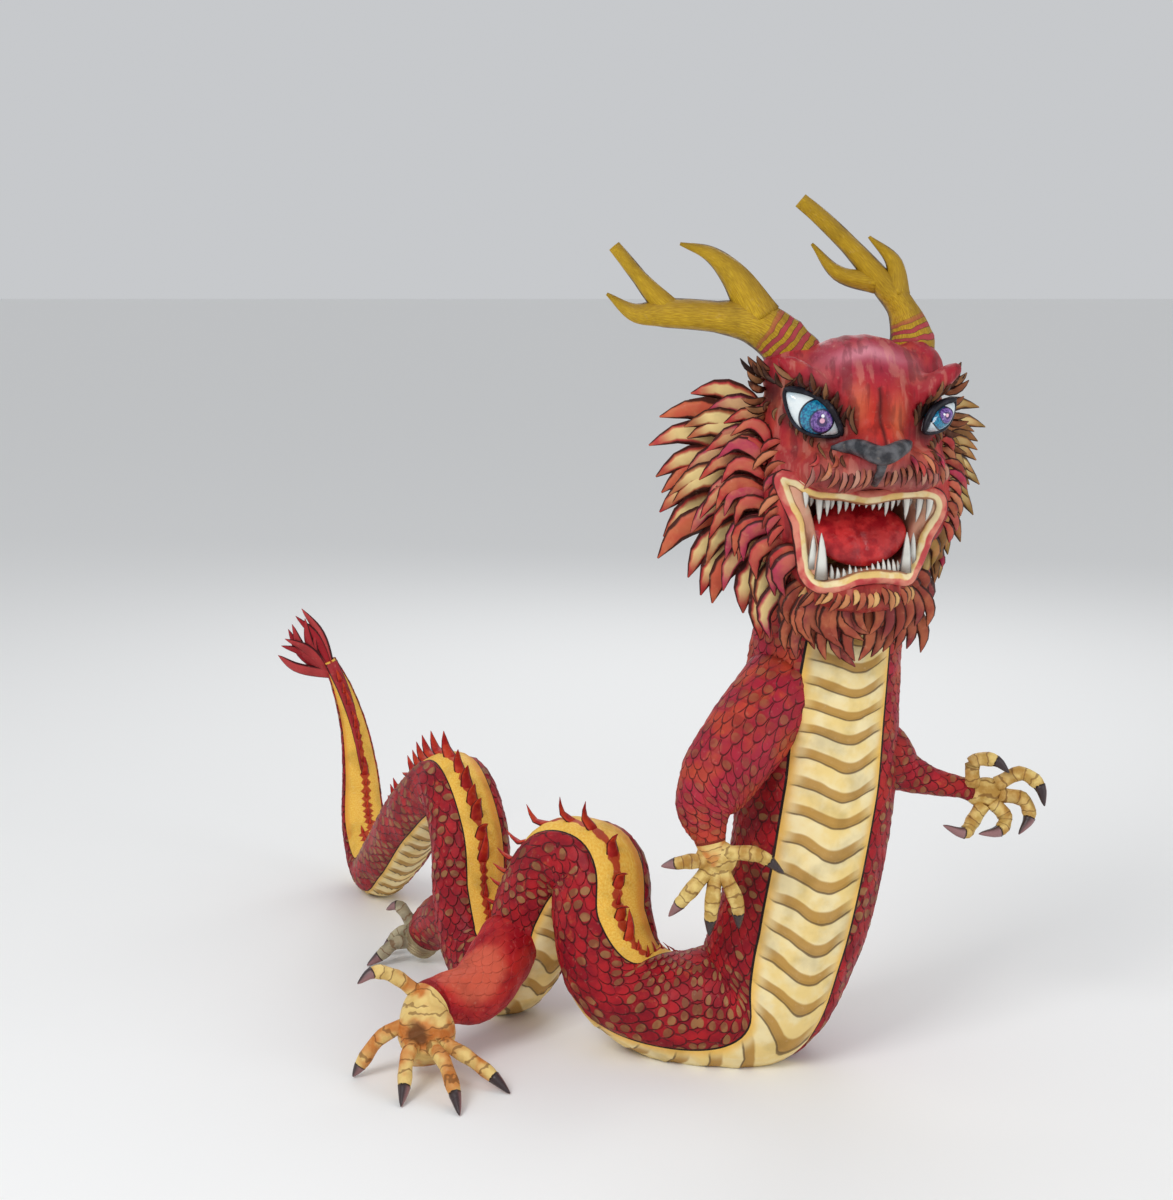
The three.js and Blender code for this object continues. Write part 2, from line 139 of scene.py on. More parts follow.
# fingers and toes from root to claw tip
FINGERS = [
    [(172, -138, 316), (218, -146, 316), (253, -140, 289)],
    [(158, -138, 306), (126, -145, 306), (96, -134, 297)],
    [(158, -138, 296), (128, -146, 262), (106, -134, 230)],
    [(166, -138, 294), (160, -147, 246), (158, -137, 205)],
    [(172, -138, 296), (192, -147, 254), (196, -137, 214)],
    [(520, 10, 366), (520, 3, 400), (546, -5, 403), (564, -12, 388)],
    [(552, 10, 366), (584, 8, 382), (607, 0, 368), (613, -12, 342)],
    [(556, 10, 352), (588, 6, 346), (596, 0, 324), (580, -12, 303)],
    [(548, 8, 342), (564, 2, 322), (556, -6, 307), (526, -14, 304)],
    [(534, 8, 338), (518, 0, 314), (508, -8, 304), (478, -14, 316)],
]
TOES = [
    [(-226, -84, 70), (-272, -102, 52), (-298, -108, 16), (-308, -113, 2)],
    [(-222, -112, 48), (-232, -150, 46), (-234, -178, 18), (-236, -206, 2)],
    [(-206, -114, 48), (-184, -160, 42), (-168, -200, 18), (-160, -232, 2)],
    [(-196, -104, 50), (-156, -132, 38), (-122, -148, 18), (-99, -166, 2)],
    [(-226, -70, 102), (-254, -84, 130), (-280, -96, 140), (-300, -106, 128)],
    [(-256, 322, 40), (-272, 336, 64), (-290, 346, 82), (-308, 350, 74)],
    [(-258, 328, 34), (-282, 338, 44), (-300, 344, 26), (-320, 346, 2)],
    [(-256, 320, 30), (-290, 312, 34), (-314, 306, 16), (-334, 302, 2)],
    [(-252, 336, 30), (-272, 372, 34), (-284, 396, 16), (-292, 416, 2)],
]
NEAR_TOES = 5            # the first toes are the near foot's, the rest the far foot's
DIGIT_HALF = 9.0
# middle of the painted highlight on the near thigh
THIGH_PAINTED_HIGHLIGHT = (-150, -42, 132)
SOLE_CREASE = (-222, -120, 64)
CLAW_FROM = 0.68         # share of the digit where the claw starts

# antler stems and tines: x, y, z, half thickness
ANTLERS = [
    [(284, -34, 915, 36), (255, -42, 956, 33), (216, -42, 984, 29), (164, -38, 992, 20),
     (100, -30, 996, 19), (62, -24, 996, 12), (26, -18, 1020, 2)],
    [(108, -30, 997, 17), (68, -26, 1040, 10), (35, -22, 1080, 8)],
    [(220, -42, 990, 28), (188, -40, 1042, 18), (156, -38, 1070, 10), (118, -36, 1083, 2)],
    [(410, 0, 896, 32), (421, 4, 954, 30), (407, 6, 1001, 19), (386, 10, 1028, 17),
     (339, 16, 1080, 12), (300, 20, 1117, 11), (275, 22, 1138, 10)],
    [(374, 12, 1034, 15), (324, 14, 1046, 10), (290, 16, 1083, 2)],
    [(400, 8, 1018, 17), (396, 10, 1058, 11), (363, 12, 1092, 2)],
]
TUFT_TIPS = [
    (-484, 744, 474), (-500, 738, 448), (-512, 732, 424), (-524, 730, 396),
    (-474, 752, 446), (-462, 742, 430), (-494, 740, 462), (-508, 746, 438),
    (-520, 742, 410), (-478, 738, 458),
]

# ---- head: placed and turned as one -----------------------------------------------------------
HEAD_AT = Vector((340, -30, 795))
HEAD_TURN = math.radians(8)
EYE_LEFT = (-75, 90, 83)          # to the side, forward, up
EYE_RIGHT = (87, 84, 76)
EYE_LEFT_HALF = (42, 22)
EYE_RIGHT_HALF = (28, 15)
HEAD_TO_BODY = Matrix.Translation(HEAD_AT) @ Matrix.Rotation(HEAD_TURN, 4, "Z")


def face(side, front, up):
    """Point of the head's own frame: to its left, forward, up."""
    return Vector((side, -front, up))


def to_row(point):
    """Maker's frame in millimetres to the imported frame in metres; nothing goes below ground."""
    placed = (Vector(point) + SHIFT) / 1000
    placed.z = max(placed.z, 0.0)
    return placed


# ---- smooth lines -----------------------------------------------------------------------------
def on_line(points, u):
    """Point at u (0..1) on the smooth line through the points."""
    spans = len(points) - 1
    t = min(max(u, 0.0), 1.0) * spans
    i = min(int(t), spans - 1)
    w = t - i
    b, c = points[i], points[i + 1]
    a = points[i - 1] if i > 0 else 2 * b - c
    d = points[i + 2] if i + 2 <= spans else 2 * c - b
    ab, bc, cd = ((b - a).length ** 0.5, (c - b).length ** 0.5, (d - c).length ** 0.5)
    ab, bc, cd = max(ab, 1e-4), max(bc, 1e-4), max(cd, 1e-4)
    m = ((b - a) / ab - (c - a) / (ab + bc) + (c - b) / bc) * bc
    n = ((c - b) / bc - (d - b) / (bc + cd) + (d - c) / cd) * bc
    return b + m * w + (-3 * b + 3 * c - 2 * m - n) * w ** 2 + (2 * b - 2 * c + m + n) * w ** 3


def heading(points, u):
    step = 0.002
    return (on_line(points, min(u + step, 1)) - on_line(points, max(u - step, 0))).normalized()


def blend_sizes(rows, u):
    """Smooth in-between of the sizes that go with the points."""
    spans = len(rows) - 1
    t = min(max(u, 0.0), 1.0) * spans
    i = min(int(t), spans - 1)
    w = t - i
    out = []
    for k in range(len(rows[0])):
        b, c = rows[i][k], rows[i + 1][k]
        a = rows[max(i - 1, 0)][k]
        d = rows[min(i + 2, spans)][k]
        m, n = (c - a) / 2, (d - b) / 2
        out.append(b + m * w + (-3 * b + 3 * c - 2 * m - n) * w ** 2
                   + (2 * b - 2 * c + m + n) * w ** 3)
    return out


def size_at(sizes, u):
    """Size at u on a line whose sizes run straight from one to the next."""
    slot = min(int(u * (len(sizes) - 1)), len(sizes) - 2)
    return sizes[slot] + (sizes[slot + 1] - sizes[slot]) * (u * (len(sizes) - 1) - slot)


def share_of(i, steps):
    """Share of the line at ring i; the first and last rings close the ends."""
    return min(max((i - 1) / (steps - 2), 0), 1)


def line_length(line):
    return sum((b - a).length for a, b in zip(line, line[1:]))


# ---- building blocks --------------------------------------------------------------------------
shells = []


def keep(bm):
    """Close and store one shell of the casting."""
    bmesh.ops.remove_doubles(bm, verts=bm.verts, dist=1e-6)
    bmesh.ops.dissolve_degenerate(bm, edges=bm.edges, dist=1e-7)
    bmesh.ops.recalc_face_normals(bm, faces=bm.faces)
    for f in bm.faces:
        f.smooth = True
    shell = bpy.data.meshes.new("shell")
    bm.to_mesh(shell)
    bm.free()
    shells.append(shell)


def bent_grid(steps, around, place, paint, pattern, tint=(1, 1, 1, 1)):
    """Grid rolled into a closed tube. place(i, j) gives the point, pattern(i, j) the map."""
    bm = bmesh.new()
    bmesh.ops.create_grid(bm, x_segments=steps, y_segments=around, size=1.0)
    maps = bm.loops.layers.uv.new("pattern")
    tints = bm.verts.layers.float_color.new("tint")
    spot = {v: (round((v.co.x + 1) / 2 * steps), round((v.co.y + 1) / 2 * around))
            for v in bm.verts}
    for f in bm.faces:
        i = min(spot[v][0] for v in f.verts)
        j = min(spot[v][1] for v in f.verts)
        f.material_index = paint if isinstance(paint, int) else paint(i, j)
        for loop in f.loops:
            loop[maps].uv = pattern(*spot[loop.vert], j)
    for v, (i, j) in spot.items():
        v[tints] = tint if not callable(tint) else tint(i, j)
        v.co = to_row(place(i, j))
    keep(bm)


def tube(points, sizes, steps, around, paint, flat=1.0, squeeze=None, tint=(1, 1, 1, 1),
         relief=None, pattern=None, profile=None):
    """Branch, digit, flame or horn along a smooth line; both ends are closed."""
    points = [Vector(p) for p in points]
    reference = Vector(squeeze) if squeeze is not None else Vector((0.31, -0.2, 0.93))
    rings = []
    for i in range(steps + 1):
        u = share_of(i, steps)
        along = heading(points, u)
        deep = (reference - along * reference.dot(along)).normalized()
        wide = deep.cross(along)
        half = profile(u) if profile else size_at(sizes, u)
        rings.append((on_line(points, u), wide, deep, 0.0 if i in (0, steps) else half, u))

    def place(i, j):
        centre, wide, deep, half, u = rings[i]
        turn = 2 * math.pi * j / around
        lift = relief(u, turn, half) if relief and half else 0.0
        return (centre + wide * math.cos(turn) * (half + lift)
                + deep * math.sin(turn) * (half * flat + lift))

    def across(i, j, _):
        return rings[i][4], math.cos(2 * math.pi * j / around)

    bent_grid(steps, around, place, paint, pattern or across, tint)


def egg_mesh(bm, at, half, turn=(0, 0, 0), across=24, high=16):
    made = bmesh.ops.create_uvsphere(bm, u_segments=across, v_segments=high, radius=1.0)
    spin = (Matrix.Rotation(math.radians(turn[2]), 4, "Z")
            @ Matrix.Rotation(math.radians(turn[1]), 4, "Y")
            @ Matrix.Rotation(math.radians(turn[0]), 4, "X"))
    place = Matrix.Translation(Vector(at)) @ spin @ Matrix.Diagonal((*half, 1))
    bmesh.ops.transform(bm, matrix=place, verts=made["verts"])
    return made["verts"]


# ---- scales -----------------------------------------------------------------------------------
def scale_lift(a, b):
    """Height share (0..1) of overlapping scales at scale coordinates a, b."""
    row = math.floor(b)
    down = b - row
    side = (a + 0.5 * (row % 2)) % 1.0 - 0.5
    edge = math.sqrt((2 * side) ** 2 + down ** 2)
    if edge < 1.0:
        return 0.25 + 0.75 * edge ** 2
    return 0.12


# ---- trunk ------------------------------------------------------------------------------------
TRUNK_POINTS = [Vector(p[:3]) for p in TRUNK]
TRUNK_SIZES = [p[3:] for p in TRUNK]


def trunk_at(u):
    half_wide, half_deep, roll = blend_sizes(TRUNK_SIZES, u)
    along = heading(TRUNK_POINTS, u)
    axle = Vector((math.cos(math.radians(roll)), math.sin(math.radians(roll)), 0))
    deep = axle.cross(along).normalized()
    return on_line(TRUNK_POINTS, u), along, deep.cross(along), deep, half_wide, half_deep


def even_stations(step):
    """u values about one step apart along the body, with the distance walked."""
    fine = 4000
    walked, last, out = 0.0, on_line(TRUNK_POINTS, 0), [(0.0, 0.0)]
    for k in range(1, fine + 1):
        here = on_line(TRUNK_POINTS, k / fine)
        walked += (here - last).length
        last = here
        if walked - out[-1][1] >= step:
            out.append((k / fine, walked))
    return out


# columns round the body: belly, ink, flank, ink, back band, and the same again on the far side
STRIPS = (
    (6, "belly"), (1, "ink"), (FLANK_COLUMNS, "scales"), (1, "ink"), (6, "gold_back"),
    (1, "ink"), (FLANK_COLUMNS, "scales"), (1, "ink"), (6, "belly"),
)


def column_angles(u):
    """Angles of the grid lines round the body at u, starting from the belly's middle."""
    belly_turn, back_turn, back_half = blend_sizes(BAND_TURN, u)
    belly, back = -90 + belly_turn, 90 + back_turn
    knots = [
        belly, belly + BELLY_HALF_ANGLE, belly + BELLY_HALF_ANGLE + INK_ANGLE,
        back - back_half - INK_ANGLE, back - back_half, back + back_half,
        back + back_half + INK_ANGLE, belly + 360 - BELLY_HALF_ANGLE - INK_ANGLE,
        belly + 360 - BELLY_HALF_ANGLE, belly + 360,
    ]
    angles = [knots[0]]
    for (count, _), low, high in zip(STRIPS, knots, knots[1:]):
        angles += [low + (high - low) * (k + 1) / count for k in range(count)]
    return angles


def strip_off(u):
    """Side shift of the red strip on the back band; it changes sides on the tail."""
    return STRIP_OFF if u < TAIL_FROM else -0.3 * STRIP_OFF


def belly_wave(side):
    """Share of a belly plate by which its edge dips at a place across the belly."""
    return (BELLY_DIP * math.cos(math.pi * side * DIP_TURN)
            + BELLY_SWAY * math.sin(math.pi * side * SWAY_TURN))


def make_trunk():
    paints = [name for count, name in STRIPS for _ in range(count)]
    around = len(paints)
    stations = even_stations(RING_STEP)
    frames = [trunk_at(u) for u, _ in stations]
    angles = [column_angles(u) for u, _ in stations]
    drop = [0.0]
    for k in range(1, len(stations)):
        step = stations[k][1] - stations[k - 1][1]
        drop.append(drop[-1] + (step if frames[k][1].z < 0 else -step) / SCALE_LONG)
    steps = len(stations) + 1
    back_middle = sum(count for count, _ in STRIPS[:4]) + 3

    def ring(i):
        return min(max(i - 1, 0), len(stations) - 1)

    def flank_map(k, j):
        half = (frames[k][4] + frames[k][5]) / 2
        angle = angles[k][j]
        middle = 2.0 if j < back_middle else 178.0
        reach = math.radians(angle - middle) * half / SCALE_WIDE
        wobble = 0.10 * math.sin(drop[k] * 0.9 + angle * 0.05)
        return 50 + reach + wobble, 400 + drop[k] + 0.12 * math.sin(angle * 0.11 + k * 0.02)

    def belly_map(k, j):
        side = j / 6 if j <= 6 else (j - around) / 6
        return side, stations[k][1] / BELLY_PITCH

    def pattern(i, j, strip):
        name = paints[strip]
        if name == "belly":
            side, row = belly_map(ring(i), j)
            return (side if strip < around / 2 else min(side, 0.0)), row
        if name == "gold_back":
            off = strip_off(stations[ring(i)][0])
            return (j - back_middle) / 3 - off, stations[ring(i)][1] / 100
        return flank_map(ring(i), j)

    def lift(k, j):
        left, right = paints[j - 1], paints[j % around]
        if "ink" in (left, right):
            return -1.2
        slim = min(1.0, frames[k][5] / 45)
        if left == "scales":
            return SCALE_RISE * slim * scale_lift(*flank_map(k, j))
        if left == "belly":
            side, row = belly_map(k, j % around)
            return BELLY_RISE * slim * (1 - (row + belly_wave(side)) % 1.0) ** 2
        return 0.8 * math.sin(stations[k][1] / 9) * slim

    def place(i, j):
        k = ring(i)
        centre, _, wide, deep, half_wide, half_deep = frames[k]
        if i in (0, steps):
            return centre
        turn = math.radians(angles[k][j])
        rise = lift(k, j)
        return (centre + wide * math.cos(turn) * (half_wide + rise)
                + deep * math.sin(turn) * (half_deep + rise))

    def tint(i, _):
        # The chest and shoulders are painted pinker than the loops.
        pink = max(0.0, min(1.0, (frames[ring(i)][0].z - 330) / 200))
        return (pink, 0, 0, 1)

    bent_grid(steps, around, place, lambda i, j: SLOT[paints[j]], pattern, tint)


def make_back_spikes():
    """Red flame-shaped scutes along the back band, their tips towards the tail."""
    for u, _ in even_stations(21.0)[9:-2]:
        _, before, *_ = trunk_at(max(u - 0.01, 0))
        centre, along, wide, deep, half_wide, half_deep = trunk_at(u)
        hollow = (along - before).dot(deep) * 8
        grow = (0.5 + 0.5 * min(1.0, half_deep / 50)) * rng.uniform(0.88, 1.1)
        if hollow > 0.12:
            grow *= max(0.35, 1 - hollow * 2.2)
        _, back_turn, back_half = blend_sizes(BAND_TURN, u)
        off = strip_off(u)
        turn = math.radians(90 + back_turn + off * back_half)
        out = (wide * math.cos(turn) + deep * math.sin(turn)).normalized()
        skin = centre + wide * math.cos(turn) * half_wide + deep * math.sin(turn) * half_deep
        root = skin - out * 7 * grow - along * 12 * grow
        belly = skin + out * 9 * grow + along * 12 * grow
        crest = max(0.0, min(1.0, -hollow * 2.5))
        tip = skin + out * (15 + 20 * crest) * grow + along * (38 - 26 * crest) * grow
        lean = out * 0.8 - along * 0.4

        def profile(t, size=grow):
            return size * 11.0 * min(1, 0.75 + 1.2 * t) * (1 - t) ** 0.75 + 0.5

        tube([root, belly, tip], None, 6, 6, SLOT["spikes"], flat=0.4, squeeze=lean,
             profile=profile)


# ---- limbs ------------------------------------------------------------------------------------
def limb(points, steps, around, scaly=True, tint=(0.6, 0, 0, 1), hand_from=1.1):
    """Scaled arm or leg; the part past hand_from is bare skin."""
    line = [Vector(p[:3]) for p in points]
    length = line_length(line)
    sizes = [p[3] for p in points]

    def chart(u, turn, half):
        return 20 + (turn - math.pi) * half / SCALE_WIDE * 1.1, 60 + u * length / SCALE_LONG * 1.1

    def relief(u, turn, half):
        if not scaly or u > hand_from:
            return 0.6 * math.sin(u * length / 5)
        return 1.6 * min(1, half / 30) * scale_lift(*chart(u, turn, half))

    def pattern(i, j, _):
        u, turn = share_of(i, steps), 2 * math.pi * j / around
        return (u * 3, math.cos(turn)) if u > hand_from else chart(u, turn, size_at(sizes, u))

    def paint(i, _):
        return SLOT["digits"] if (i - 1) / (steps - 2) > hand_from else SLOT["scales"]

    tube(line, sizes, steps, around, paint, tint=tint, relief=relief, pattern=pattern)


def digit(points, tint):
    """Knuckled finger or toe with its own curved claw."""
    line = [Vector(p) for p in points]
    knuckles = len(points) - 1

    def profile(u):
        ridge = 1.3 * abs(math.cos(math.pi * u * (knuckles + 0.5))) ** 3
        thin = 1 if u < CLAW_FROM else max(0.03, 1 - (u - CLAW_FROM) * 9)
        return (DIGIT_HALF + 1 + ridge - 2.2 * u) * thin

    tube(line, None, 18, 9, SLOT["digits"], tint=tint, profile=profile)
    claw_line = [on_line(line, CLAW_FROM + (1 - CLAW_FROM) * k / 4) for k in range(5)]

    def claw_profile(u):
        return 7.8 * (1 - u) ** 0.75 + 0.9

    tube(claw_line, None, 8, 8, SLOT["claw"], profile=claw_profile)


def make_limbs():
    limb(ARM_RIGHT, 56, 36, tint=(0.9, 0, 0, 1), hand_from=0.82)
    limb(ARM_LEFT, 42, 28, tint=(0.3, 0, 0, 1), hand_from=0.9)
    limb(LEG_RIGHT, 40, 32, scaly=False, tint=(0.9, 1, 0, 1), hand_from=0.62)
    limb(LEG_LEFT, 30, 26, tint=(0.1, 0, 0.8, 1), hand_from=0.7)
    for at, half, warm in HANDS:
        bm = bmesh.new()
        bm.loops.layers.uv.new("pattern")
        egg_mesh(bm, at, half, across=20, high=14)
        store_eggs(bm, "digits", (warm, 0, 0, 1))
    for points in FINGERS:
        digit(points, (0.2, 0, 0, 1))
    for k, points in enumerate(TOES):
        digit(points, (0.8, 0, 0, 1) if k < NEAR_TOES else (0, 0, 1, 1))


def store_eggs(bm, paint, tint, to_body=None):
    """Paint and place shells made from spheres; the map is the point's own height and side."""
    maps = bm.loops.layers.uv.active or bm.loops.layers.uv.new("pattern")
    tints = bm.verts.layers.float_color.new("tint")
    for f in bm.faces:
        f.material_index = SLOT[paint]
        for loop in f.loops:
            loop[maps].uv = (loop.vert.co.z / 100, loop.vert.co.x / 100)
    for v in bm.verts:
        v[tints] = tint
        v.co = to_row(to_body @ v.co if to_body else v.co)
    keep(bm)


def make_tail_tuft():
    root = TRUNK_POINTS[-1]
    for k, tip in enumerate(TUFT_TIPS):
        tip = Vector(tip)
        bow = Vector((-10, 0, -6)) if k % 2 else Vector((8, 0, 8))
        start = root + Vector((5 - k % 3 * 3, 3, -30))
        middle = start.lerp(tip, 0.55) + bow
        tube([start, middle, tip], None, 14, 10, SLOT["tuft"], flat=0.6, squeeze=(0.2, 1, 0.1),
             profile=lambda t: 9.5 * math.sin(math.pi * min(1, 0.28 + t * 0.72)) ** 0.8 + 0.5,
             tint=(rng.random(), rng.random(), 0, 1))


def make_tuft_root():
    """Red strands running down the band from the tuft."""
    for off, far in ((-0.35, 0.90), (0.25, 0.885), (0.0, 0.925)):
        line = []
        for k in range(4):
            u = 0.995 + (far - 0.995) * k / 3
            centre, _, wide, deep, half_wide, half_deep = trunk_at(u)
            line.append(centre + deep * (half_deep - 2) + wide * half_wide * off * (1 - k / 4))
        tube(line, None, 10, 8, SLOT["tuft"], flat=0.7, squeeze=deep, tint=(0.4, 0, 0, 1),
             profile=lambda t: 7.5 * (1 - t) ** 0.7 + 0.5)


# ---- antlers ----------------------------------------------------------------------------------
def make_antlers():
    for points in ANTLERS:
        stem, steps = len(points) > 4, 8 * (len(points) - 1)
        line = [Vector(p[:3]) for p in points]
        length = line_length(line)

        def relief(u, turn, half):
            ring = 1.4 * math.sin(u * length / 4.2) if stem and u < 0.2 else 0.0
            groove = 0.7 * math.sin(turn * 5 + u * 6)
            return (ring + groove) * min(1, half / 12)

        def pattern(i, j, _):
            share = share_of(i, steps)
            return share * length / 100 + (0 if stem else 3), math.cos(2 * math.pi * j / 16)

        tube(line, [p[3] for p in points], steps, 16, SLOT["antler"],
             squeeze=(0, -1, 0), relief=relief, pattern=pattern)


# ---- head: eggs melted together, each with its middle, half sizes and turn ----------------------
HEAD_FORMS = [
    (face(0, 2, 60), (122, 104, 112), (0, 0, 0)),
    (face(0, -4, -48), (120, 98, 112), (0, 0, 0)),
    (face(-2, 34, 118), (84, 72, 58), (0, 0, 0)),
    (face(2, 78, 38), (42, 80, 44), (0, 0, 0)),
    (face(4, 72, 92), (56, 54, 54), (0, 0, 0)),
    (face(-5, 64, -144), (70, 58, 30), (0, 0, 0)),
    (face(-6, 50, -106), (90, 64, 62), (0, 0, 0)),
    (face(-42, 92, 12), (52, 58, 30), (0, 0, 12)),
    (face(46, 92, 12), (52, 56, 30), (0, 0, -12)),
    (face(-90, 44, -24), (34, 48, 72), (0, 0, 0)),
    (face(88, 44, -24), (30, 46, 68), (0, 0, 0)),
    (face(-78, 84, 122), (52, 32, 15), (0, 36, 10)),
    (face(80, 82, 114), (46, 30, 14), (0, -36, -10)),
    (face(-80, 4, 126), (40, 46, 40), (0, 0, 0)),
    (face(80, 4, 126), (38, 46, 40), (0, 0, 0)),
    (face(0, -34, -30), (146, 58, 146), (0, 0, 0)),
]
MELT_SIZE = 4.3          # grid of the melted head
# rim of the open mouth: to the side and up, clockwise from the left corner
MOUTH_RIM = [
    (-113, 2), (-95, -1), (-70, -15), (-36, -18), (-3, -24), (32, -19), (68, -18),
    (88, -23), (95, -38), (80, -74), (64, -108), (51, -126), (30, -124), (8, -121),
    (-20, -124), (-40, -132), (-63, -134), (-77, -122), (-83, -95), (-90, -56), (-104, -22),
]


def looped(points, u):
    """Point on the closed smooth line."""
    spread = points[-2:] + points + points[:3]
    n = len(points)
    return on_line(spread, (2 + (u % 1.0) * n) / (len(spread) - 1))


def ring_tube(points, steps, around, half, paint, pattern=None, flat=1.0, to_body=HEAD_TO_BODY):
    """Closed roll, such as a lip or an eyelid, made as two halves that meet inside each other."""
    for start in (0.0, 0.5):
        part = [to_body @ looped(points, start - 0.01 + 0.52 * k / 24) for k in range(25)]
        tube(part, [half, half], steps // 2, around, paint, flat=flat, pattern=pattern,
             squeeze=(0, -1, 0.1))


def shaped(source, steps, others=()):
    """New mesh of a shape after its modifiers; each step is (kind, settings)."""
    scene = bpy.context.scene.collection.objects
    form = bpy.data.objects.new("form", source)
    scene.link(form)
    for kind, settings in steps:
        step = form.modifiers.new(kind.lower(), kind)
        for name, value in settings.items():
            setattr(step, name, value)
    made = bpy.data.meshes.new_from_object(
        form.evaluated_get(bpy.context.evaluated_depsgraph_get()))
    for used in (form, *others):
        bpy.data.objects.remove(used)
    return made


def make_head_form():
    """Skull, muzzle, cheeks and brows melted together, then opened at the mouth and eyes.

    Also gives the surface of the closed form, for setting lips and hair down on it.
    """
    bm = bmesh.new()
    for at, half, turn in HEAD_FORMS:
        egg_mesh(bm, at, half, turn)
    eggs = bpy.data.meshes.new("head_eggs")
    bm.to_mesh(eggs)
    bm.free()
    melt = ("REMESH", {"mode": "VOXEL", "voxel_size": MELT_SIZE})
    closed = shaped(eggs, [melt, ("SMOOTH", {"factor": 0.5, "iterations": 10})])
    bm = bmesh.new()
    bm.from_mesh(closed)
    skin = BVHTree.FromBMesh(bm)
    bm.free()

    bm = bmesh.new()
    rim = bmesh.ops.create_circle(bm, segments=len(MOUTH_RIM), radius=1.0, cap_ends=True)
    for vert, (side, up) in zip(rim["verts"], MOUTH_RIM):
        vert.co = face(side, 220, up)
    pushed = bmesh.ops.extrude_face_region(bm, geom=bm.faces[:])
    back = [v for v in pushed["geom"] if isinstance(v, bmesh.types.BMVert)]
    for vert in back:
        vert.co = face(vert.co.x * 0.60, 6, -66 + (vert.co.z + 66) * 0.78)
    for side, up, half in ((EYE_LEFT[0], EYE_LEFT[2], 34), (EYE_RIGHT[0], EYE_RIGHT[2], 24)):
        egg_mesh(bm, face(side, EYE_LEFT[1] + 18, up), (half, 18, half * 0.72))
    bmesh.ops.recalc_face_normals(bm, faces=bm.faces)
    cutter = bpy.data.objects.new("mouth_cutter", bpy.data.meshes.new("mouth_cutter"))
    bm.to_mesh(cutter.data)
    bm.free()
    bpy.context.scene.collection.objects.link(cutter)
    opened = shaped(closed, [
        ("BOOLEAN", {"operation": "DIFFERENCE", "solver": "EXACT", "object": cutter}),
        melt, ("SMOOTH", {"factor": 0.5, "iterations": 4}),
    ], [cutter])
    return opened, skin


def on_face(side, up, lift=0.0):
    """Point on the closed head at a place to the side and up, seen from the front."""
    hit = head_skin.ray_cast(Vector((side, -400, up)), Vector((0, 1, 0)))[0]
    front = -hit.y if hit else 20.0
    return face(side, front + lift, up)


def hump(value, centre, width):
    return math.exp(-((value - centre) / width) ** 2)


def face_colour(side, up):
    """Soft zones of paint on the head, with painted highlights on the forehead and the nose bridge.
    """
    colour = Vector((0.36, 0.012, 0.022))

    def wash(amount, target):
        nonlocal colour
        colour = colour.lerp(Vector(target), max(0.0, min(1.0, amount)))

    wash(hump(up, 150, 34) * hump(side, 0, 75), (0.36, 0.020, 0.050))
    # painted highlight: a pale pink band across the top of the dome
    wash(0.9 * hump(up, 158 - abs(side + 5) * 0.25, 9) * hump(side, -5, 48),
         (0.70, 0.26, 0.32))
    wash(0.9 * hump(side, 4, 34) * hump(up, 78, 34), (0.58, 0.035, 0.018))
    # painted highlights: brighter orange patches to each side of the nose bridge
    wash(0.8 * hump(side, 26, 12) * hump(up, 74, 26), (0.66, 0.14, 0.05))
    wash(0.7 * hump(side, -22, 10) * hump(up, 92, 26), (0.62, 0.12, 0.05))
    wash(0.5 * hump(abs(side), 62, 12) * hump(up, 128, 12), (0.62, 0.17, 0.16))
    wash(0.9 * hump(up, 4, 20) * hump(side, 0, 78), (0.40, 0.17, 0.15))
    wash(0.6 * hump(abs(side), 60, 18) * hump(up, 30, 12), (0.64, 0.16, 0.10))
    wash(0.7 * hump(abs(side), 100, 22) * hump(up, -20, 55), (0.52, 0.055, 0.045))
    wash(0.6 * hump(up, -150, 26), (0.30, 0.055, 0.030))
    for at_side, at_up, wide in ((EYE_LEFT[0], EYE_LEFT[2], 44), (EYE_RIGHT[0], EYE_RIGHT[2], 32)):
        across = (side - at_side) * 0.78 - (up - at_up) * (0.62 if at_side < 0 else -0.62)
        over = (up - at_up) * 0.78 + (side - at_side) * (0.62 if at_side < 0 else -0.62)
        ring = math.sqrt((across / wide) ** 2 + (over / (wide * 0.62)) ** 2)
        wash(0.85 * hump(ring, 0.9, 0.32), (0.07, 0.014, 0.012))
    wash(0.85 * hump(side, 2, 2.6) * (1 if 42 < up < 118 else 0), (0.04, 0.006, 0.006))
    return (*colour, 1.0)


def in_mouth(side, front, up):
    """Inside the open mouth: within the rim and behind the skin."""
    inside = False
    count = len(MOUTH_RIM)
    for k in range(count):
        (a, b), (c, d) = MOUTH_RIM[k], MOUTH_RIM[(k + 1) % count]
        if (b > up) != (d > up) and side < (c - a) * (up - b) / (d - b) + a:
            inside = not inside
    return inside and front > 0


def make_head():
    bm = bmesh.new()
    bm.from_mesh(head_open)
    maps = bm.loops.layers.uv.new("pattern")
    tints = bm.verts.layers.float_color.new("tint")
    inner = set()
    for f in bm.faces:
        at = f.calc_center_median()
        if in_mouth(at.x * 1.04, -at.y, at.z * 1.02):
            inner.add(f)
    for v in bm.verts:
        side, front, up = v.co.x, -v.co.y, v.co.z
        v[tints] = face_colour(side, up)
        if not any(f in inner for f in v.link_faces):
            fold = hump(side, 2, 5) * (1 if 40 < up < 125 and front > 80 else 0)
            fur = noise.noise(Vector((side * 0.07, up * 0.16, front * 0.03)))
            v.co += v.normal * (fur * 1.4 - fold * 2.8)
    for f in bm.faces:
        f.material_index = SLOT["mouth"] if f in inner else SLOT["face"]
        for loop in f.loops:
            loop[maps].uv = (loop.vert.co.x / 100, loop.vert.co.z / 100)
    for v in bm.verts:
        v.co = to_row(HEAD_TO_BODY @ v.co)
    keep(bm)


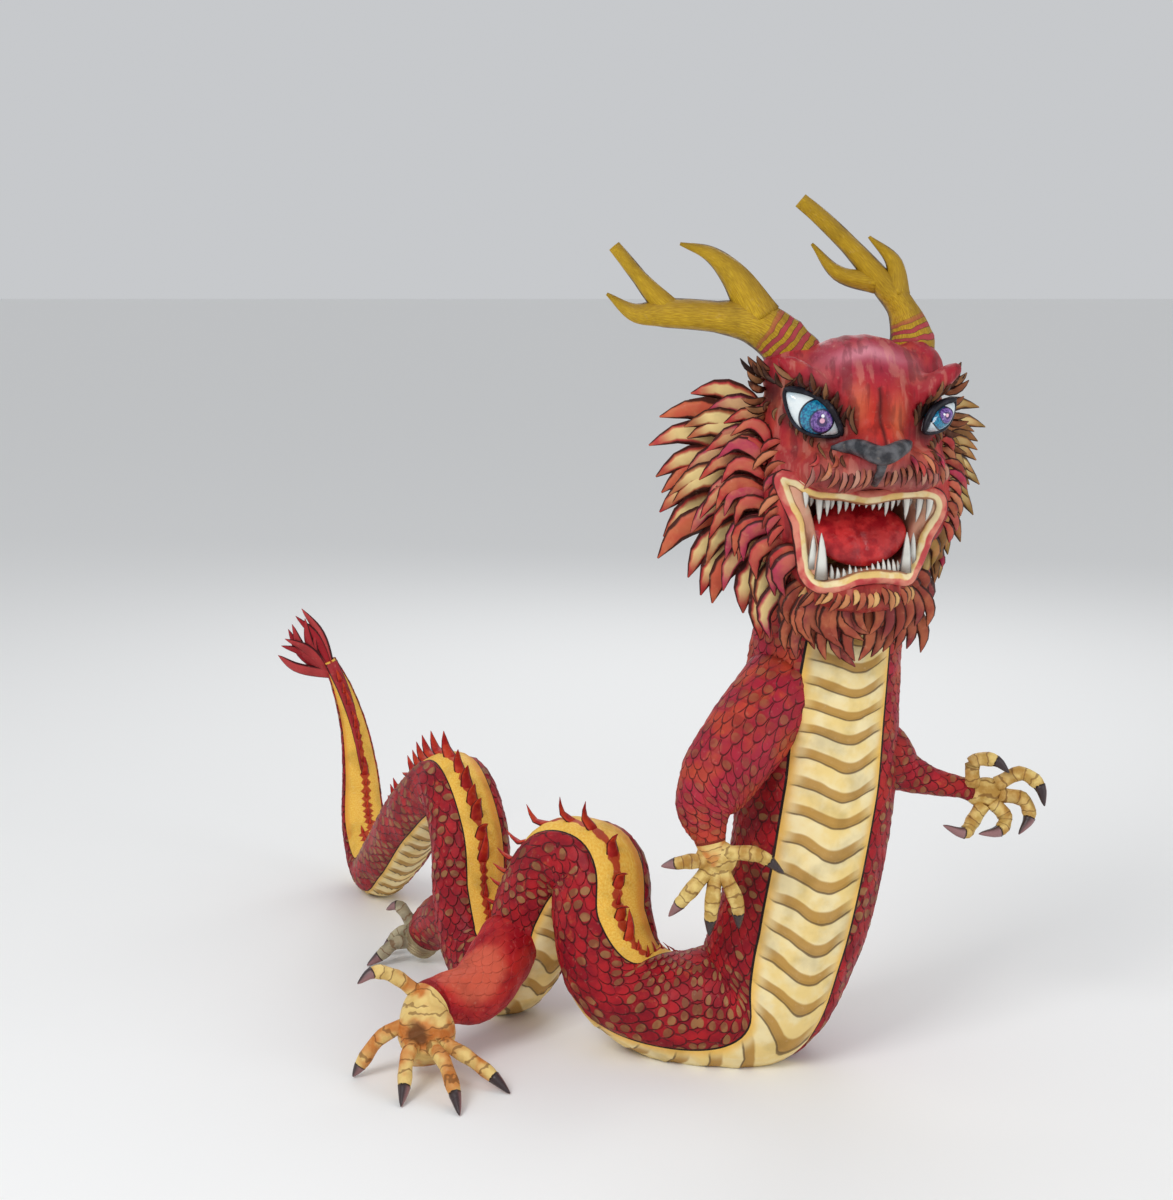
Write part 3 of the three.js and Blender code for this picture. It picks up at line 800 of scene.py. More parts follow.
def make_eye(at, half, slant, look, facing):
    """Almond eyeball with a dark rolled lid; the map is centred on the iris."""
    wide, tall = half
    side = at[0]

    def shape(x, y, z):
        almond = (1 - 0.5 * x * x) * (0.84 if z > 0 else 1.12)
        return Vector((x * wide, y * 19, z * tall * almond))

    place = (HEAD_TO_BODY @ Matrix.Translation(face(*at))
             @ Matrix.Rotation(math.radians(facing), 4, "Z")
             @ Matrix.Rotation(math.radians(slant), 4, "Y"))
    bm = bmesh.new()
    maps = bm.loops.layers.uv.new("pattern")
    tints = bm.verts.layers.float_color.new("tint")
    made = egg_mesh(bm, (0, 0, 0), (1, 1, 1), across=30, high=20)
    for f in bm.faces:
        f.material_index = SLOT["eye"]
        for loop in f.loops:
            x, y, z = shape(*loop.vert.co)
            loop[maps].uv = (x / tall - look[0], z / tall - look[1])
    for v in made:
        v[tints] = (1 if side > 0 else 0, 0, 0, 1)
        v.co = to_row(place @ shape(*v.co))
    keep(bm)
    rim = [shape(math.cos(a), -0.22, math.sin(a)) * 1.03
           for a in (2 * math.pi * k / 16 for k in range(16))]
    ring_tube(rim, 48, 8, 2.6, SLOT["lid"], to_body=place)
    upper = [place @ (shape(math.cos(a) * 1.06, -0.34, math.sin(a)) * 1.04)
             for a in (math.pi * k / 8 for k in range(9))]
    tube(upper, None, 24, 8, SLOT["lid"], squeeze=(0, -1, 0.1),
         profile=lambda t: 1.2 + 4.2 * math.sin(math.pi * min(max(t, 0), 1)) ** 0.7)


def tooth(side, front, up, tall, half, bow=0.0):
    """Pointed tooth; tall below zero hangs down."""
    root = face(side, front, up - tall * 0.25)
    tip = face(side + bow, front - 3, up + tall)
    middle = face(side + bow * 0.3, front + 2, up + tall * 0.45)
    tube([HEAD_TO_BODY @ root, HEAD_TO_BODY @ middle, HEAD_TO_BODY @ tip], None, 7, 7,
         SLOT["teeth"], flat=0.75, squeeze=(0, -1, 0),
         profile=lambda t: half * (1 - t) ** 0.7 + 0.5)


def make_teeth():
    for k in range(19):
        side = -78 + k * 8.6
        rim = on_face(side, -24)
        tall = 15 + rng.random() * 6 + (5 if k % 5 == 2 else 0)
        tooth(side, -rim.y - 9, -23 + 3 * math.sin(k), -tall, 4.3)
    for k in range(15):
        side = -54 + k * 7.2
        rim = on_face(side, -128)
        tooth(side, -rim.y - 10, -124 + (4 if side > 0 else -2), 14 + rng.random() * 5, 4.0)
    for side, up, tall, half, bow in (
            (-62, -18, -40, 6.5, 2), (-52, -18, -30, 5, 1), (50, -18, -36, 6, 0),
            (69, -18, -40, 6.5, -4), (80, -22, -34, 6, -4), (-82, -12, -24, 5, 2),
            (-61, -113, 46, 8.5, 0), (-71, -104, 34, 6.5, 2), (47, -108, 40, 7.5, 2),
            (57, -100, 30, 6, 3)):
        skin = on_face(side, up + tall * 0.5, 1)
        tooth(side, -skin.y, up, tall, half, bow)


def make_tongue_and_nose():
    bm = bmesh.new()
    made = egg_mesh(bm, (0, 0, 0), (62, 46, 17), across=36, high=20)
    for v in made:
        groove = hump(v.co.x, 0, 5) * 5 if v.co.z > 0 else 0
        edge = (v.co.x / 60) ** 2
        v.co.z -= groove - 9 * edge
    tilt = Matrix.Translation(face(-7, 62, -74)) @ Matrix.Rotation(math.radians(52), 4, "X")
    bmesh.ops.transform(bm, matrix=tilt, verts=made)
    store_eggs(bm, "tongue", (0, 0, 0, 1), HEAD_TO_BODY)
    # nose: a moustache-shaped pad with a short stem down to the lip
    pad = [on_face(-54, 40, 4), on_face(-30, 44, 8), on_face(-6, 36, 11), on_face(20, 44, 8),
           on_face(46, 45, 4)]
    tube([HEAD_TO_BODY @ p for p in pad], None, 34, 18, SLOT["nose"], flat=0.9,
         squeeze=(0, -1, 0.2),
         profile=lambda t: 2.5 + 9.5 * math.sin(math.pi * min(max(t, 0.02), 0.98)) ** 0.7)
    stem = [on_face(-5, 34, 9), on_face(-4, 16, 8), on_face(-3, -4, 6)]
    tube([HEAD_TO_BODY @ p for p in stem], [8, 5.5, 5], 14, 12, SLOT["nose"], flat=0.7,
         squeeze=(0, -1, 0))


# ---- mane, beard and brows --------------------------------------------------------------------
FLAME_COLOURS = (
    (0.52, 0.05, 0.05, 0.9), (0.48, 0.04, 0.09, 0.7), (0.46, 0.03, 0.03, 0.8),
    (0.36, 0.10, 0.04, 1.0), (0.58, 0.10, 0.05, 0.2), (0.42, 0.09, 0.04, 1.0),
)
OLIVE = ((0.30, 0.16, 0.03, 0.5), (0.24, 0.11, 0.03, 0.2), (0.34, 0.19, 0.05, 0.7))
BROWN_RED = ((0.30, 0.05, 0.03, 0.05), (0.36, 0.07, 0.04, 0.15), (0.26, 0.04, 0.04, 0.0))
MANE_REACH = (
    (-206, 222), (-180, 250), (-150, 256), (-125, 246), (-90, 236), (-60, 206),
    (-35, 190), (-10, 186), (16, 186),
)


def reach_at(angle):
    for (a, r), (b, s) in zip(MANE_REACH, MANE_REACH[1:]):
        if angle <= b:
            return r + (s - r) * max(0.0, (angle - a) / (b - a))
    return MANE_REACH[-1][1]


def lock(line, half, colour, flat_way, paint="flames", around=7, steps=10):
    """Leaf-shaped lock of hair along a line in the head's frame, pointed at its tip."""
    tube([HEAD_TO_BODY @ p for p in line], None, steps, around, SLOT[paint], flat=0.42,
         squeeze=HEAD_TO_BODY.to_3x3() @ flat_way, tint=colour,
         profile=lambda t: half * math.sin(0.22 + 2.9 * t ** 0.9) ** 0.85 + 0.4)


def flame(root, tip, bend, half, colour, flat_way, steps=10):
    """S-shaped lock: sagging in the middle, its thin tip curling back."""
    out = tip - root
    side = out.cross(flat_way).normalized()
    lock([root, root + out * 0.36 + side * bend, root + out * 0.72 + side * bend * 0.9,
          tip - side * bend * 1.15], half, colour, flat_way, steps=steps)


# count, first and last angle, share of the reach, root radius, root front, tip front, half
# width, share of the pale heart
MANE_LAYERS = (
    (14, -207, -122, 1.00, 112, -34, -52, 18, 1.0), (12, -204, -124, 0.88, 110, -8, -24, 17, 0.8),
    (12, -201, -122, 0.78, 106, 16, 4, 14, 0.55), (12, -198, -126, 0.70, 122, 38, 22, 10, 0.35),
    (12, -120, -60, 0.98, 150, -20, -30, 14, 1.0), (11, -116, -64, 0.88, 144, 0, -8, 13, 1.0),
    (13, -60, 24, 1.00, 100, -30, -46, 13, 1.0), (12, -56, 20, 0.89, 104, -4, -18, 12, 1.0),
    (10, -50, 12, 0.78, 104, 24, 8, 10, 0.6),
)


def make_mane():
    for level, row in enumerate(MANE_LAYERS):
        count, start, stop, share, root_at, front, back, half, pale = row
        for k in range(count):
            angle = start + (stop - start) * (k + 0.3 * math.sin(k * 2.1)) / (count - 1)
            turn = math.radians(angle)
            out = Vector((math.cos(turn), 0, math.sin(turn)))
            forward = 88 * max(0.0, -math.sin(turn)) ** 3
            reach = reach_at(angle) * share * rng.uniform(0.95, 1.07)
            flat_way = (Vector((0, -1, 0)) + out * 0.35).normalized()
            if angle > -61:
                colour = OLIVE[k % 3]
            elif angle > -119:
                colour = BROWN_RED[k % 3]
            else:
                colour = FLAME_COLOURS[(k * 2 + level) % (6 if level < 2 else 3)]
            root = out * root_at + face(0, front + forward, 0)
            tip = out * reach + face(0, back + forward, 0) + Vector((0, 0, rng.uniform(0, 16)))
            half *= rng.uniform(0.94, 1.06)
            colour = (*colour[:3], colour[3] * pale)
            flame(root, tip, 13 if math.cos(turn) < 0 else -10, half, colour, flat_way)


def make_nape():
    """Plainer rows of locks down the back of the head, over the root of the neck."""
    for level, (up, count, spread, length) in enumerate(
            ((-118, 9, 104, 74), (-66, 10, 122, 80), (-8, 9, 118, 84), (52, 8, 96, 80))):
        for k in range(count):
            side = (k / (count - 1) * 2 - 1) * spread
            hit = head_skin.ray_cast(Vector((side, 400, up)), Vector((0, -1, 0)))[0]
            back = hit.y if hit else 40.0
            root = Vector((side, back - 8, up + 18))
            tip = Vector((side * 1.16, back + 9, up + 18 - length * (1 + 0.08 * math.sin(k * 2.0))))
            colour = BROWN_RED[(k + level) % 3] if k % 2 else FLAME_COLOURS[(k + level) % 6]
            flame(root, tip, 5 if side > 0 else -5, 13, (*colour[:3], 0.15), Vector((0, 1, 0)),
                  steps=8)


def tuft_row(row, length, half, colours, paint="hair", bend=2.5, lift=8):
    """Pointed hairs lying on the head: each entry is (side, up, angle in the face's plane)."""
    for k, (side, up, angle) in enumerate(row):
        turn = math.radians(angle + rng.uniform(-8, 8))
        grow = rng.uniform(0.75, 1.2) * length
        reach = Vector((math.cos(turn), math.sin(turn))) * grow
        sway = Vector((-reach.y, reach.x)) / grow * bend
        line = []
        for t, off in ((0, 0), (0.35, 1), (0.7, 0.6), (1, -0.6)):
            spot = Vector((side, up)) + reach * t + sway * off
            at = on_face(*spot, lift * t - 2)
            if line and at.y > line[-1].y + grow * 0.4:
                at.y = line[-1].y + grow * 0.15
            line.append(at)
        lock(line, half, colours[k % len(colours)], Vector((0, -1, 0)), paint,
             around=6, steps=7)


DARK_HAIR = ((0.020, 0.010, 0.008, 0.0), (0.055, 0.022, 0.012, 0.0), (0.12, 0.055, 0.025, 0.0))
BROWN_HAIR = ((0.12, 0.04, 0.018, 0.0), (0.26, 0.12, 0.05, 0.1), (0.07, 0.022, 0.012, 0.0))
MUZZLE_HAIR = (
    (0.42, 0.17, 0.14, 0.0), (0.24, 0.05, 0.04, 0.0), (0.56, 0.28, 0.20, 0.0),
    (0.34, 0.08, 0.07, 0.0),
)
CHEEK_HAIR = (
    (0.52, 0.05, 0.05, 0.0), (0.62, 0.20, 0.10, 0.3), (0.32, 0.04, 0.03, 0.0),
    (0.46, 0.035, 0.08, 0.2),
)
CHIN_HAIR = ((0.66, 0.36, 0.13, 0.4), (0.42, 0.10, 0.05, 0.0), (0.58, 0.22, 0.09, 0.3))


def make_brows_and_beard():
    for hand, eye, wide in ((-1, EYE_LEFT, 44), (1, EYE_RIGHT, 30)):
        at_side, _, at_up = eye
        slope = 0.78
        over, under, outer = [], [], []
        for k in range(15):
            t = k / 14 * 2 - 1
            side = at_side - hand * t * wide * 1.12
            up = at_up - t * wide * slope + 14 - 5 * t * t
            over.append((side, up, 90 - hand * (28 - 26 * t)))
        for k in range(10):
            t = k / 9 * 1.7 - 0.85
            side = at_side - hand * (t * wide * 0.9 - 4)
            under.append((side, at_up - t * wide * slope - 21, -90 + hand * (30 - 8 * t)))
        for k in range(8):
            outer.append((at_side + hand * (wide * 0.9 + 3 * (k % 2)), at_up + 46 - 11 * k,
                          90 - hand * (52 + 11 * k)))
        tuft_row(over, 29, 3.2, DARK_HAIR, bend=-3.5 * hand)
        tuft_row([(s - hand * 4, u + 9, a - hand * 6) for s, u, a in over[1::2]], 26, 4.2,
                 BROWN_HAIR, bend=-2.5 * hand)
        tuft_row(under, 15, 2.8, BROWN_HAIR, bend=2.5 * hand)
        tuft_row(outer, 32, 5.0, BROWN_HAIR, "flames", bend=-4.0 * hand)
    tuft_row([(-80 + 8 * k, 20 + 3 * math.sin(k), -90 + (-80 + 8 * k) * 0.28)
              for k in range(21) if abs(-76 + 8 * k) > 9], 27, 4.0, MUZZLE_HAIR, "flames")
    tuft_row([(-72 + 9 * k, 34 - 8 * (k % 2), -90 + (-72 + 9 * k) * 0.5)
              for k in range(17) if abs(-66 + 9 * k) > 40], 22, 3.6, CHEEK_HAIR, "flames")
    for hand in (-1, 1):
        tuft_row([(hand * (104 + 5 * (k % 2)), 44 - 13 * k, -90 + hand * (62 - 4 * k))
                  for k in range(12)], 34, 6.2, CHEEK_HAIR, "flames", bend=4 * hand)
    tuft_row([(-74 + 8.5 * k, -137 - 3 * math.sin(k * 1.7), -90 + (-68 + 8.5 * k) * 0.5)
              for k in range(16)], 26, 5.0,
             CHIN_HAIR, "flames")
    for row, (up, length, half, push) in enumerate(((-150, 66, 8.5, -8), (-172, 74, 9.5, -22))):
        for k in range(13 - row):
            side = -84 + 13.4 * k + 6 * row
            turn = math.radians(-90 + side * 0.34)
            root = face(side * 0.88, 104 + push - abs(side) * 0.34, up + 12)
            tip = root + Vector((math.cos(turn), 0.10, math.sin(turn))) * (
                length * rng.uniform(0.8, 1.08))
            flame(root, tip, -6 if side > 0 else 6, half, BROWN_RED[(k + row) % 3],
                  Vector((0, -1, 0)), steps=10)


def make_lips():
    def pattern(i, j, _):
        return i / 12, math.cos(2 * math.pi * j / 12)
    rim = [on_face(side, up, 1.0) for side, up in MOUTH_RIM]
    smooth = [(rim[k - 1] + rim[k] * 2 + rim[(k + 1) % len(rim)]) / 4
              for k in range(len(rim))]
    line = [Vector((at.x, soft.y, at.z)) for at, soft in zip(rim, smooth)]
    ring_tube(line, 130, 12, 9.4, SLOT["lips"], pattern=pattern, flat=0.85)


# ---- paints -----------------------------------------------------------------------------------
class Paint:
    """Short hand for one node material; what a step gives back can be used by the next."""

    def __init__(self, name, roughness, gloss=0.2):
        self.material = bpy.data.materials.new(name)
        self.material.use_nodes = True
        self.tree = self.material.node_tree
        self.shader = self.tree.nodes["Principled BSDF"]
        self.shader.inputs["Roughness"].default_value = roughness
        self.shader.inputs["Specular IOR Level"].default_value = gloss
        self.roughness = roughness
        self.place = self.add("ShaderNodeTexCoord").outputs["Object"]
        chart = self.add("ShaderNodeUVMap")
        chart.uv_map = "pattern"
        self.chart = chart.outputs["UV"]
        self.u, self.v, _ = self.parts("ShaderNodeSeparateXYZ", self.chart)
        hue = self.add("ShaderNodeAttribute")
        hue.attribute_name = "tint"
        self.tint, self.centre = hue.outputs["Color"], hue.outputs["Alpha"]
        self.tint_r, self.tint_g, self.tint_b = self.parts("ShaderNodeSeparateColor", self.tint)

    def add(self, kind):
        return self.tree.nodes.new(kind)

    def link(self, source, target):
        self.tree.links.new(source, target)

    def parts(self, kind, source):
        node = self.add(kind)
        self.link(source, node.inputs[0])
        return node.outputs[:3]

    def feed(self, socket, value):
        if isinstance(value, (int, float)):
            socket.default_value = value
        elif isinstance(value, tuple):
            socket.default_value = (*value[:3], 1.0)
        else:
            self.link(value, socket)

    def maths(self, operation, *values):
        node = self.add("ShaderNodeMath")
        node.operation = operation
        for socket, value in zip(node.inputs, values):
            self.feed(socket, value)
        return node.outputs[0]

    def times(self, first, second):
        return self.maths("MULTIPLY", first, second)

    def plus(self, first, second):
        return self.maths("ADD", first, second)

    def less(self, first, second):
        return self.maths("SUBTRACT", first, second)

    def apart(self, value, other=0.0):
        """How far a number lies from another, to either side."""
        return self.maths("ABSOLUTE", self.less(value, other))

    def away(self, point):
        """Distance from a fixed point of the piece."""
        node = self.add("ShaderNodeVectorMath")
        node.operation = "DISTANCE"
        self.link(self.place, node.inputs[0])
        node.inputs[1].default_value = point
        return node.outputs["Value"]

    def noise(self, scale, detail=3.0, source=None, stretch=None):
        node = self.add("ShaderNodeTexNoise")
        node.inputs["Scale"].default_value = scale
        node.inputs["Detail"].default_value = detail
        source = source or self.place
        if stretch:
            mapping = self.add("ShaderNodeMapping")
            mapping.inputs["Scale"].default_value = stretch
            self.link(source, mapping.inputs["Vector"])
            source = mapping.outputs[0]
        self.link(source, node.inputs["Vector"])
        return node.outputs["Fac"]

    def wander(self, scale, detail, reach):
        """The unsteady hand: noise that swings about zero."""
        return self.times(self.less(self.noise(scale, detail), 0.5), reach)

    def ranged(self, value, low, high, start, stop, curve="SMOOTHSTEP"):
        node = self.add("ShaderNodeMapRange")
        node.interpolation_type = curve
        for name, number in (("From Min", low), ("From Max", high), ("To Min", start),
                             ("To Max", stop)):
            node.inputs[name].default_value = number
        self.feed(node.inputs["Value"], value)
        return node.outputs[0]

    def step(self, value, low, high):
        """0 below low, 1 above high, smooth between; low above high turns it round."""
        if low > high:
            return self.ranged(value, high, low, 1.0, 0.0)
        return self.ranged(value, low, high, 0.0, 1.0)

    def mix(self, amount, first, second):
        node = self.add("ShaderNodeMix")
        node.data_type = "RGBA"
        self.feed(node.inputs[0], amount)
        self.feed(node.inputs[6], first)
        self.feed(node.inputs[7], second)
        return node.outputs[2]

    def cloud(self, first, second, scale, detail, low, high):
        """Two tones dabbed into each other."""
        return self.mix(self.step(self.noise(scale, detail), low, high), first, second)

    def over(self, colour, coat, strength, value, low, high):
        """A second coat where the value passes from low to high."""
        return self.mix(self.times(self.step(value, low, high), strength), colour, coat)

    def dull(self, value):
        """Where the brush went on thick the paint is duller."""
        worn = self.ranged(value, 0.3, 0.7, self.roughness * 0.72, self.roughness * 1.28,
                           "LINEAR")
        self.link(worn, self.shader.inputs["Roughness"])

    def bump(self, height, strength, depth, under=None):
        node = self.add("ShaderNodeBump")
        node.inputs["Strength"].default_value = strength
        node.inputs["Distance"].default_value = depth
        self.link(height, node.inputs["Height"])
        if under is not None:
            self.link(under, node.inputs["Normal"])
        return node.outputs[0]

    def finish(self, colour, relief=None, depth=0.0006, worn=0.12):
        """Brush variation, sandy grain and the carved relief."""
        brush = self.noise(26, 5.0)
        deep = self.mix(0.55, colour, (0.02, 0.005, 0.005))
        colour = self.over(colour, deep, 0.5, brush, 0.42, 0.78)
        colour = self.over(colour, (0.80, 0.62, 0.42), worn, self.noise(160, 2.0), 0.60, 0.80)
        self.link(colour, self.shader.inputs["Base Color"])
        self.dull(brush)
        normal = self.bump(self.noise(900, 2.0), 0.35, 0.0007)
        if relief is not None:
            normal = self.bump(relief, 0.8, depth, normal)
        self.link(normal, self.shader.inputs["Normal"])
        return self.material


INK = (0.012, 0.006, 0.006)
LID_INK = (0.012, 0.012, 0.018)


def scales_paint():
    """Overlapping scales: dark U-shaped edges, crimson to orange ground, brown-gold spots, and a
    painted salmon highlight on the near thigh.
    """
    p = Paint("painted_scales", 0.5)
    row = p.maths("FLOOR", p.v)
    down = p.less(p.v, row)
    slid = p.plus(p.u, p.times(p.maths("MODULO", row, 2.0), 0.5))
    column = p.maths("FLOOR", slid)
    side = p.times(p.less(p.less(slid, column), 0.5), 2.0)
    across = p.times(side, side)
    wobble = p.wander(60, 2.0, 0.35)
    edge = p.plus(p.maths("SQRT", p.plus(across, p.times(down, down))), wobble)
    cell = p.add("ShaderNodeCombineXYZ")
    p.link(column, cell.inputs[0])
    p.link(row, cell.inputs[1])
    chance = p.add("ShaderNodeTexWhiteNoise")
    chance.noise_dimensions = "3D"
    p.link(cell.outputs[0], chance.inputs["Vector"])
    pick = chance.outputs["Value"]
    ground = p.cloud((0.27, 0.004, 0.014), (0.46, 0.012, 0.018), 34, 3.0, 0.35, 0.68)
    pinker = p.cloud((0.42, 0.022, 0.050), (0.56, 0.075, 0.03), 22, 2.0, 0.40, 0.62)
    ground = p.mix(p.times(p.tint_r, 0.8), ground, pinker)
    ground = p.over(ground, (0.62, 0.16, 0.04), 0.5, p.noise(48, 4.0), 0.60, 0.75)
    thigh = p.cloud((0.36, 0.004, 0.012), (0.52, 0.022, 0.020), 30, 3.0, 0.42, 0.62)
    # Painted highlight: a soft salmon patch on the near thigh round a fixed point.
    glow = p.plus(p.step(p.away(to_row(THIGH_PAINTED_HIGHLIGHT)), 0.074, 0.030), p.wander(40, 3.0, 0.8))
    thigh = p.over(thigh, (0.70, 0.13, 0.07), 0.85, glow, 0.1, 0.9)
    blob = p.plus(across, p.maths("POWER", p.times(p.less(down, 0.42), 2.4), 2.0))
    spotted = p.times(p.step(p.plus(blob, wobble), 0.72, 0.50),
                      p.step(p.plus(pick, p.wander(7, 2.0, 1.1)), 0.58, 0.64))
    spotted = p.times(spotted, p.less(1.0, p.times(p.tint_r, 0.55)))
    brown = p.cloud((0.22, 0.075, 0.030), (0.34, 0.165, 0.060), 50, 2.0, 0.40, 0.60)
    shade = p.over(ground, (0.20, 0.002, 0.012), 0.35, pick, 0.0, 1.0)
    colour = p.mix(p.times(spotted, 0.88), shade, brown)
    line = p.step(p.noise(70, 2.0), 0.34, 0.50)
    colour = p.over(colour, (0.055, 0.007, 0.008), p.times(line, 0.80), p.apart(edge, 0.93),
                    0.11, 0.05)
    return p.finish(p.mix(p.tint_g, colour, thigh), p.step(edge, 1.02, 0.86), 0.0022, 0.10)


def gold_paint():
    """Gold band with a jagged red strip down its middle."""
    p = Paint("painted_gold_back", 0.5)
    side = p.apart(p.u)
    streak = p.noise(9, 4.0, p.chart, (1.6, 5.0, 1.0))
    colour = p.mix(p.step(streak, 0.30, 0.72), (0.86, 0.45, 0.050), (0.94, 0.62, 0.12))
    colour = p.over(colour, (0.80, 0.30, 0.03), 0.75, side, 0.62, 1.0)
    jags = p.apart(p.maths("FRACT", p.times(p.v, 7.0)), 0.5)
    reach = p.less(p.plus(side, p.wander(60, 3.0, 0.3)), p.times(jags, 0.26))
    colour = p.over(colour, (0.44, 0.018, 0.012), 0.92, reach, 0.12, 0.06)
    return p.finish(colour, streak, 0.0010, 0.15)


def belly_paint():
    """Cream plates, each with a brown wavy stroke of painted shade and a thin dark line under it.
    """
    p = Paint("painted_belly", 0.52)
    dip = p.times(p.maths("COSINE", p.times(p.u, DIP_TURN * math.pi)), BELLY_DIP)
    sway = p.times(p.maths("SINE", p.times(p.u, SWAY_TURN * math.pi)), BELLY_SWAY)
    place = p.plus(p.plus(p.v, p.plus(dip, sway)), p.wander(18, 2.0, 0.3))
    place = p.maths("FRACT", place)
    side = p.apart(p.u)
    colour = p.cloud((0.88, 0.66, 0.26), (0.92, 0.77, 0.43), 30, 3.0, 0.35, 0.65)
    colour = p.over(colour, (0.90, 0.50, 0.07), 0.8, side, 0.72, 1.0)
    # Painted shade: a brown wavy stroke over the low end of each plate, before the next plate's
    # raised edge, fading towards the belly's sides.
    shade_stroke = p.times(p.step(place, 0.54, 0.62), p.step(place, 0.97, 0.90))
    colour = p.over(colour, (0.46, 0.235, 0.04), p.times(shade_stroke, 0.88), side, 0.98, 0.55)
    line = p.times(p.step(p.apart(place, 0.95), 0.045, 0.02), 0.8)
    colour = p.over(colour, (0.10, 0.045, 0.012), line, side, 1.0, 0.75)
    return p.finish(colour, p.step(place, 0.98, 0.80), 0.0022, 0.15)


def ink_paint(name="ink_line", colour=INK, roughness=0.55):
    p = Paint(name, roughness)
    thin = tuple(3.0 * c for c in colour)
    return p.finish(p.cloud(colour, thin, 90, 3.0, 0.45, 0.75), worn=0.05)


def antler_paint():
    """Ochre horn with red rings round its root, painted shade down one side and a thin dark
    outline.
    """
    p = Paint("painted_antler", 0.42)
    grain = p.noise(5, 4.0, p.chart, (2.0, 4.0, 1.0))
    colour = p.mix(p.step(grain, 0.32, 0.70), (0.40, 0.225, 0.010), (0.62, 0.39, 0.020))
    # Painted shade: one side of each horn darker brown.
    colour = p.over(colour, (0.24, 0.13, 0.02), 0.5, p.v, 0.2, -0.9)
    rings = p.maths("SINE", p.plus(p.times(p.u, 52.0), p.times(p.noise(30, 2.0), 6.0)))
    root = p.step(p.u, 0.95, 0.72)
    colour = p.over(colour, (0.42, 0.05, 0.06), root, rings, -0.2, 0.4)
    colour = p.over(colour, INK, p.times(root, 0.8), p.apart(rings, 0.1), 0.22, 0.08)
    edge = p.plus(p.apart(p.v), p.wander(50, 3.0, 0.2))
    colour = p.over(colour, (0.05, 0.022, 0.008), 0.85, edge, 0.91, 0.98)
    return p.finish(colour, grain, 0.0016, 0.08)


def claw_paint():
    """Near-black horn with a painted rosy highlight along one side."""
    p = Paint("painted_claw", 0.32, 0.4)
    # Painted highlight: rosy along one side of the claw, near-black on the other.
    colour = p.mix(p.step(p.v, -0.2, 0.9), (0.045, 0.028, 0.030), (0.30, 0.15, 0.15))
    colour = p.over(colour, INK, 1.0, p.u, 0.10, 0.02)
    return p.finish(colour, p.noise(60, 2.0), 0.0006, 0.05)


def digits_paint():
    """Ochre skin of hands and feet: warm on the near foot, grey on the far one, creased."""
    p = Paint("painted_hands", 0.5)
    skin = p.cloud((0.46, 0.27, 0.055), (0.78, 0.58, 0.20), 60, 4.0, 0.38, 0.64)
    warm = p.cloud((0.84, 0.60, 0.22), (0.70, 0.17, 0.03), 26, 2.0, 0.44, 0.60)
    grey = p.cloud((0.22, 0.21, 0.17), (0.40, 0.37, 0.28), 40, 3.0, 0.4, 0.6)
    skin = p.mix(p.times(p.tint_r, 0.8), skin, warm)
    skin = p.mix(p.times(p.tint_b, 0.8), skin, grey)
    fold = p.plus(p.away(to_row(SOLE_CREASE)), p.wander(60, 3.0, 0.02))
    skin = p.over(skin, (0.13, 0.045, 0.012), 0.85, fold, 0.019, 0.010)
    creases = p.maths("SINE", p.plus(p.times(p.u, 40.0), p.times(p.noise(50, 2.0), 9.0)))
    colour = p.over(skin, (0.16, 0.06, 0.015), 0.65, creases, 0.82, 0.97)
    return p.finish(colour, creases, 0.0006, 0.1)


def face_paint():
    """Head: soft zones laid down first, then brush strokes running down the face."""
    p = Paint("painted_face", 0.46)
    strokes = p.noise(11, 5.0, stretch=(7.0, 3.0, 1.1))
    planes = p.noise(24, 3.0, stretch=(1.2, 1.0, 0.7))
    orange, dark, pale = (p.mix(share, p.tint, tone) for share, tone in (
        (0.5, (0.74, 0.16, 0.07)), (0.7, (0.06, 0.006, 0.008)), (0.45, (0.85, 0.42, 0.30))))
    colour = p.over(p.tint, orange, 0.45, planes, 0.50, 0.66)
    colour = p.over(colour, dark, 0.6, strokes, 0.52, 0.62)
    colour = p.over(colour, pale, 0.45, strokes, 0.44, 0.36)
    return p.finish(colour, strokes, 0.0018, 0.08)


def flame_paint(name="painted_mane", warm=0.45):
    """Each lock: its own colour, pale heart, dark outline."""
    p = Paint(name, 0.5)
    side = p.plus(p.apart(p.v), p.wander(45, 3.0, 0.5))
    glow = p.mix(warm, p.tint, (0.62, 0.20, 0.08))
    body = p.cloud(p.tint, glow, 40, 3.0, 0.40, 0.65)
    heart = p.times(p.times(p.step(p.u, 0.10, 0.30), p.step(p.u, 0.94, 0.70)),
                    p.step(p.centre, 0.2, 0.8))
    colour = p.over(body, (0.86, 0.66, 0.28), p.times(heart, 0.92), side, 0.62, 0.34)
    colour = p.over(colour, (0.03, 0.008, 0.006), 0.93, side, 0.60, 0.76)
    return p.finish(colour, p.noise(30, 3.0), 0.0012, 0.1)


